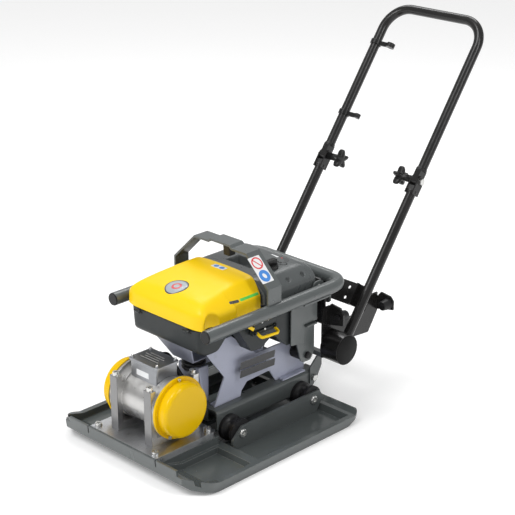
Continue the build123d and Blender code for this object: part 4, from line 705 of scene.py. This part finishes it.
HINGE_X, HINGE_Y, HINGE_Z = 84.0, -143.0, 325.0
for side, word in ((-1, "left"), (1, "right")):
    # a hinge knuckle under the hood's front edge, on its pin
    turned("hinge_knuckle_" + word,
           ((1.0, 0), (3.6, 0), (4.0, 0.5), (4.0, 15.5), (3.6, 16), (1.0, 16)),
           (side * HINGE_X - 8.0, HINGE_Y, HINGE_Z), (1, 0, 0), dark_plastic, "hood", count=32)
    turned("hinge_pin_" + word,
           ((0.6, 0), (1.9, 0.2), (2.0, 0.6), (2.0, 27.4), (1.9, 27.8), (0.6, 28)),
           (side * HINGE_X - 14.0, HINGE_Y, HINGE_Z), (1, 0, 0), black_plastic, "hood", count=24)

BADGE_AT = (-2, -93)
DOTS_AT = (1, 41)
# round badge: a dark rim, a light disc and a plain red ring
draped_patch("badge_rim", hood_field, ellipse(*BADGE_AT, 28.5, 28.5), grey_print, "hood", 0.5)
draped_patch("badge_face", hood_field, ellipse(*BADGE_AT, 26.0, 26.0), silver_print, "hood", 0.8)
draped_patch("badge_ring", hood_field, ellipse(*BADGE_AT, 12.5, 12.5), red_print, "hood", 1.0)
draped_patch("badge_centre", hood_field, ellipse(*BADGE_AT, 7.5, 7.5), silver_print, "hood", 1.2)
# small white label with two blue dots
draped_patch("dots_label", hood_field, rounded_box(*DOTS_AT, 42, 16, 1.5), white_print, "hood", 0.4)
for offset in (-9.5, 9.5):
    draped_patch("dots_label_dot" + ("_a" if offset < 0 else "_b"), hood_field,
                 ellipse(DOTS_AT[0] + offset, DOTS_AT[1], 6.6, 6.6), blue_print, "hood", 0.6)
# plain two-colour stripe on each side bevel
for side, word, start in ((1, "right", -43.0), (-1, "left", -16.0)):
    for part, material, near, far in (("dark", grey_print, 0, 30), ("green", green_print, 34, 94)):
        middle = start + side * (near + far) / 2
        draped_patch("stripe_" + part + "_" + word, hood_field,
                     rounded_box(side * 121.6, middle, 4.0, far - near, 1.4), material, "hood", 0.5, low=350)

# ---------------------------------------------------------------- front mount and exciter details
MOUNT_LOW, MOUNT_HIGH = box_mm("front_tray_mount")
mount_y = (MOUNT_LOW[1] + MOUNT_HIGH[1]) / 2
mount_r = (MOUNT_HIGH[0] - MOUNT_LOW[0]) / 2
folds = [(6.0, MOUNT_LOW[2]), (mount_r - 5.0, MOUNT_LOW[2])]
fold_count = 3
fold_height = (MOUNT_HIGH[2] - MOUNT_LOW[2] - 3.0) / fold_count
for i in range(fold_count):
    base = MOUNT_LOW[2] + 1.5 + i * fold_height
    for share in range(9):
        swing = math.sin(math.pi * share / 8)
        folds.append((mount_r - 6.0 + 6.0 * swing ** 0.7, base + fold_height * share / 8))
folds += [(mount_r - 4.0, MOUNT_HIGH[2]), (6.0, MOUNT_HIGH[2])]
bellows = turned("front_bellows", folds, (0, mount_y, 0), (0, 0, 1), black_rubber, "machine", count=72)
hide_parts("front_tray_mount")

COVER_LOW, COVER_HIGH = box_mm("terminal_cover")
for row, y in enumerate((-186.0, -177.0, -168.0, -159.0)):
    half = 24.0 if row % 2 else 31.0
    flat_plate("cover_rib_" + "abcd"[row], rounded_box(0, 0, 2 * half, 3.2, 1.5), (0, y, COVER_HIGH[2] - 0.2),
               (1, 0, 0), (0, 1, 0), 1.6, aluminium, "machine", bevel=0.5)
for sx in (-1, 1):
    for sy, y in (("front", COVER_LOW[1] + 7.5), ("rear", COVER_HIGH[1] - 7.5)):
        turned("cover_screw_" + sy + ("_left" if sx < 0 else "_right"),
               ((0.8, -2.6), (3.2, -2.6), (3.3, 0.1), (3.0, 0.5), (1.9, 0.5), (1.8, -1.0), (0.4, -1.1)),
               (sx * 42.5, y, COVER_HIGH[2] + 2.4), (0, 0, 1), zinc, "machine", count=32)
flat_plate("rating_label", rounded_box(0, 0, 42, 14.5, 0.8), (-3, BOX_FRONT + 0.1, 210), (1, 0, 0),
           (0, 0, 1), 0.4, white_print, "machine")

# ---------------------------------------------------------------- latches
for side, word in ((-1, "left"), (1, "right")):
    body = "latch_lever_" + word
    path = rounded_path([(side * 130.5, 36, 279), (side * 143.5, 40, 269), (side * 144.0, 100, 265.5),
                         (side * 130.5, 97, 275.5)], 8.0)
    loop = swept_strap("pull_loop_" + word, path, (0.35 * side, 0, 0.94), 7.5, 4.6, yellow_plastic, body,
                       bevel=1.3)
    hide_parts("latch_lever_" + word)
    swept_strap("pull_web_" + word, [(side * 130.2, 34, 277), (side * 130.2, 93, 277)], (0, 0, 1), 9.0, 2.2,
                dark_plastic, body, bevel=0.8)
    # the hook stays on the case and ends short of the loop's swing
    hook_path = rounded_path([(side * 132.5, 4, 307), (side * 133.0, 15, 299), (side * 132.5, 25, 291.5)],
                             6.0)
    swept_strap("pull_hook_" + word, hook_path, (0, 0.4, 0.9), 8.0, 2.4, yellow_plastic, "machine", bevel=0.8)
    for part, y, z in (("a", 64, 281), ("b", 48, 309), ("c", 80, 309)):
        turned("latch_rivet_" + part + "_" + word,
               ((0.8, -1.0), (3.4, -1.0), (3.5, 0.6), (2.9, 1.4), (1.0, 1.7)),
               (side * 131.0, y, z), (side, 0, 0), zinc, "machine" if part != "a" else body, count=28)
    claw_path = rounded_path([(side * 132.4, 52, 300), (side * 132.8, 64, 316), (side * 131.0, 76, 300)], 8.0)
    swept_strap("latch_claw_" + word, claw_path, (0, 0, 1), 4.0, 1.8, zinc, "machine", bevel=0.5)

# ---------------------------------------------------------------- star knobs, tube collars and pivot caps
HANDLE_LEAN = math.radians(36.126)
PIVOT_SPOT = Vector((0.0, 312.0, 158.0))
HANDLE_UP = Vector((0.0, math.sin(HANDLE_LEAN), math.cos(HANDLE_LEAN)))
FOLD_AT = 462.0
TUBE_SPREAD = 155.5


def star_knob(name, side, node):
    """A five-armed knob with rounded, tapering arms on a round neck."""
    count, arms = 120, 5
    root_radius, arm_length, arm_taper = 11.5, 14.5, 1.15
    low, high = box_mm(node)
    near = low[0] if side > 0 else high[0]
    length = high[0] - low[0]
    centre = PIVOT_SPOT + HANDLE_UP * FOLD_AT
    rings = []
    waves = [((1 + math.cos(arms * 2 * math.pi * i / count)) / 2) ** arm_taper for i in range(count)]
    for share, along in ((0.50, 0.0), (0.84, 0.9), (0.96, 2.8), (1.0, 6.0), (1.0, 12.0), (0.95, 16.0),
                         (0.80, 18.6)):
        rings.append((along, [share * (root_radius + arm_length * wave) for wave in waves]))
    for radius, along in ((9.8, 20.0), (9.4, 22.0), (9.4, length)):
        rings.append((along, [radius] * count))
    points, faces = [], []
    for along, radii in rings:
        for i, radius in enumerate(radii):
            a = 2 * math.pi * i / count
            y, z = centre.y + radius * math.cos(a), centre.z + radius * math.sin(a)
            points.append((near + side * along, y, z))
    for ring in range(len(rings) - 1):
        for i in range(count):
            a, b = ring * count + i, ring * count + (i + 1) % count
            faces.append((a, b, b + count, a + count)[::side])
    faces.append(tuple(range(count))[::-side])
    faces.append(tuple(range((len(rings) - 1) * count, len(rings) * count))[::side])
    piece = new_object(name, mesh_of(name, points, faces), black_plastic, node)
    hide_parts(node)


for side, word in ((-1, "left"), (1, "right")):
    star_knob("knob_arms_" + word, side, "star_knob_" + word)
    for part, along, body in (("lower", 427.0, "handle_lower"), ("upper", 489.0, "handle_upper")):
        spot = PIVOT_SPOT + HANDLE_UP * along + Vector((side * TUBE_SPREAD, 0, 0))
        turned("tube_collar_" + part + "_" + word,
               ((12.4, 0.0), (14.0, 0.3), (14.2, 1.2), (14.0, 2.4), (13.2, 3.0), (14.0, 3.6), (14.2, 4.8),
                (14.0, 6.7), (12.4, 7.0)),
               spot, HANDLE_UP, black_coat, body, count=40)
    cap_face = box_mm("handle_lower")[1][0]
    turned("pivot_cap_" + word, ((0.6, -0.2), (37.4, -0.2), (37.4, 0.5), (36.6, 1.1), (0.6, 1.3)),
           (side * cap_face, PIVOT_SPOT.y, PIVOT_SPOT.z), (side, 0, 0), matte_black, "handle_lower")

# ---------------------------------------------------------------- ear screws beside the rail
EAR_OUT_X, EAR_Y = 142.1, 238.0
for side, word in ((-1, "left"), (1, "right")):
    for part, z in (("upper", 343.0), ("lower", 326.0)):
        turned("ear_screw_" + part + "_" + word,
               ((0.8, -5.2), (3.0, -5.2), (3.0, -0.1), (5.2, 0.0), (5.2, 1.8), (4.4, 3.0), (1.0, 3.4)),
               (side * EAR_OUT_X, EAR_Y, z), (side, 0, 0), zinc, "machine", count=32)

# ---------------------------------------------------------------- labels on the lifting bar and the console
slope_normal = Vector((0.697, 0.0, 0.717)).normalized()
slope_down = Vector((0.717, 0.0, -0.697)).normalized()
slope_spot = Vector((161.0, 57.5, 394.0)) + slope_down * -53.0 + slope_normal * 0.15


def on_slope(down, along):
    """A point on the bar's right slope, from the label's middle."""
    return tuple(slope_spot + slope_down * down + Vector((0, 1, 0)) * along)


flat_plate("slope_label", rounded_box(0, 0, 37, 71, 2.0), on_slope(0, 0), (0, 1, 0), -slope_down, 0.25,
           white_print, "machine")
flat_ring("slope_ring", 15.8, 12.2, on_slope(-17.5, 0.6), (0, 1, 0), -slope_down, 0.45, red_print, "machine")
flat_plate("slope_slash", rounded_box(0, 0, 2.8, 27.0, 0.4, turn=38), on_slope(-17.5, 0.6), (0, 1, 0),
           -slope_down, 0.45, red_print, "machine")
flat_plate("slope_disc", ellipse(0, 0, 15.6, 15.6, count=56), on_slope(17.5, 0.2), (0, 1, 0), -slope_down,
           0.45, blue_print, "machine")
flat_plate("slope_disc_mark", ellipse(0, 0, 5.0, 7.0, 25.0, 40), on_slope(17.5, 0.2), (0, 1, 0),
           -slope_down, 0.55, white_print, "machine")

PLATE_OUT = box_mm("console_plates")[1][0]
for side, word in ((-1, "left"), (1, "right")):
    for row, (low, high) in (("top", (175.0, 193.0)), ("bottom", (152.5, 170.5))):
        outline = [(20, low), (139, low - 4), (142, high - 4), (24, high)]
        if side < 0:
            outline = [(162 - y, z) for y, z in outline][::-1]
        flat_plate("console_stripe_" + row + "_" + word,
                   [(side * y, z) for y, z in outline][::side],
                   (side * (PLATE_OUT - 0.1), 0, 0), (0, side, 0), (0, 0, 1), 0.2, black_print, "machine")

# ---------------------------------------------------------------- control panel marks
PANEL_TOP = box_mm("control_panel")[1][2]
for name, x, y, w, h, turn, material in (
        ("mark_display", 26, 203, 24, 9, 0, white_print), ("mark_small", 43, 187, 10, 6, 0, white_print),
        ("mark_red_a", 0, 201, 5, 3, 0, red_print), ("mark_red_b", 49, 206, 5, 3, 0, red_print),
        ("mark_grey_a", 8, 185, 14, 2.2, 0, grey_print), ("mark_grey_b", 8, 179, 10, 2.2, 0, grey_print)):
    flat_plate(name, rounded_box(0, 0, w, h, 0.9), (x, y, PANEL_TOP - 0.1), (1, 0, 0), (0, 1, 0), 0.4,
               material, "machine")
for i, x in enumerate((-8.0, 58.0, 68.0)):
    turned("panel_key_" + "abc"[i], ((4.6, -0.5), (4.6, 0.7), (4.0, 1.3), (1.0, 1.5)),
           (x, 180.0, PANEL_TOP), (0, 0, 1), black_plastic, "machine", count=36)
# a moulded oval frame beside the panel
OVAL_AT, OVAL_TURN = (70, 177), 32.0
draped_patch("oval_rim", housing_field, ellipse(*OVAL_AT, 18.5, 8.5, OVAL_TURN), black_plastic, "machine",
             0.35, low=360)
draped_patch("oval_face", housing_field, ellipse(*OVAL_AT, 16.5, 6.8, OVAL_TURN), housing_plastic, "machine",
             0.6, low=360)

# ---------------------------------------------------------------- floor, light and camera
CAMERA_AZIMUTH = 44.596
CAMERA_ELEVATION = 21.2585
CAMERA_PLACE = Vector((2.4229, -2.28565, 1.7385))
CAMERA_LENS = 106.38


def look_back(azimuth, elevation):
    """The direction from the object to a camera at that azimuth and elevation, in degrees."""
    a, e = math.radians(azimuth), math.radians(elevation)
    return Vector((math.sin(a) * math.cos(e), -math.cos(a) * math.cos(e), math.sin(e)))


def make_camera():
    data = bpy.data.cameras.new("camera")
    data.lens = CAMERA_LENS
    data.sensor_width = 36.0
    camera = bpy.data.objects.new("camera", data)
    camera.location = CAMERA_PLACE
    camera.rotation_mode = "QUATERNION"
    camera.rotation_quaternion = (-look_back(CAMERA_AZIMUTH, CAMERA_ELEVATION)).to_track_quat("-Z", "Y")
    bpy.context.scene.collection.objects.link(camera)
    bpy.context.scene.camera = camera


def make_floor():
    mesh = bpy.data.meshes.new("floor")
    side = 30.0
    corners = [(-side, -side, 0), (side, -side, 0), (side, side, 0), (-side, side, 0)]
    mesh.from_pydata(corners, [], [(0, 1, 2, 3)])
    floor = bpy.data.objects.new("floor", mesh)
    bpy.context.scene.collection.objects.link(floor)
    m = Shader("pale_floor", (0.93, 0.93, 0.93), 0.75, edge=0.1, specular=0.2)
    m.tint(m.remap(m.noise(2.0, 3.0), 0.4, 0.8, 0.0, 0.10), (0.90, 0.90, 0.90))
    m.shader.inputs["Emission Color"].default_value = (1.0, 1.0, 1.0, 1.0)
    m.shader.inputs["Emission Strength"].default_value = 0.14
    mesh.materials.append(m.material)


def place_lamp(name, kind, azimuth, elevation, distance, energy):
    """A lamp of one kind that looks at the middle of the machine."""
    data = bpy.data.lights.new(name, kind)
    data.energy = energy
    lamp = bpy.data.objects.new(name, data)
    back = look_back(azimuth, elevation)
    lamp.location = Vector((0, 0, 0.3)) + back * distance
    lamp.rotation_mode = "QUATERNION"
    lamp.rotation_quaternion = back.to_track_quat("Z", "Y")
    bpy.context.scene.collection.objects.link(lamp)
    return data


def make_softbox(name, azimuth, elevation, distance, size, power):
    data = place_lamp(name, "AREA", azimuth, elevation, distance, power)
    data.shape = "RECTANGLE"
    data.size, data.size_y = size


def make_light_and_world():
    world = bpy.data.worlds.new("studio")
    world.use_nodes = True
    world.node_tree.nodes["Background"].inputs["Color"].default_value = (1.0, 1.0, 1.0, 1.0)
    world.node_tree.nodes["Background"].inputs["Strength"].default_value = 0.46
    bpy.context.scene.world = world
    key = place_lamp("key", "SUN", -20.0, 62.0, 4.0, 1.15)
    key.angle = math.radians(28.0)
    make_softbox("side", 100.0, 42.0, 3.2, (0.5, 2.6), 26.0)
    make_softbox("back", 215.0, 48.0, 3.4, (2.4, 0.8), 34.0)
    make_softbox("front", 10.0, 30.0, 4.2, (0.6, 2.8), 8.0)
    make_softbox("strip", -22.0, 40.0, 3.6, (0.7, 1.5), 30.0)
    bpy.context.scene.view_settings.view_transform = "Standard"
    bpy.context.scene.view_settings.look = "None"


make_camera()
make_floor()
make_light_and_world()
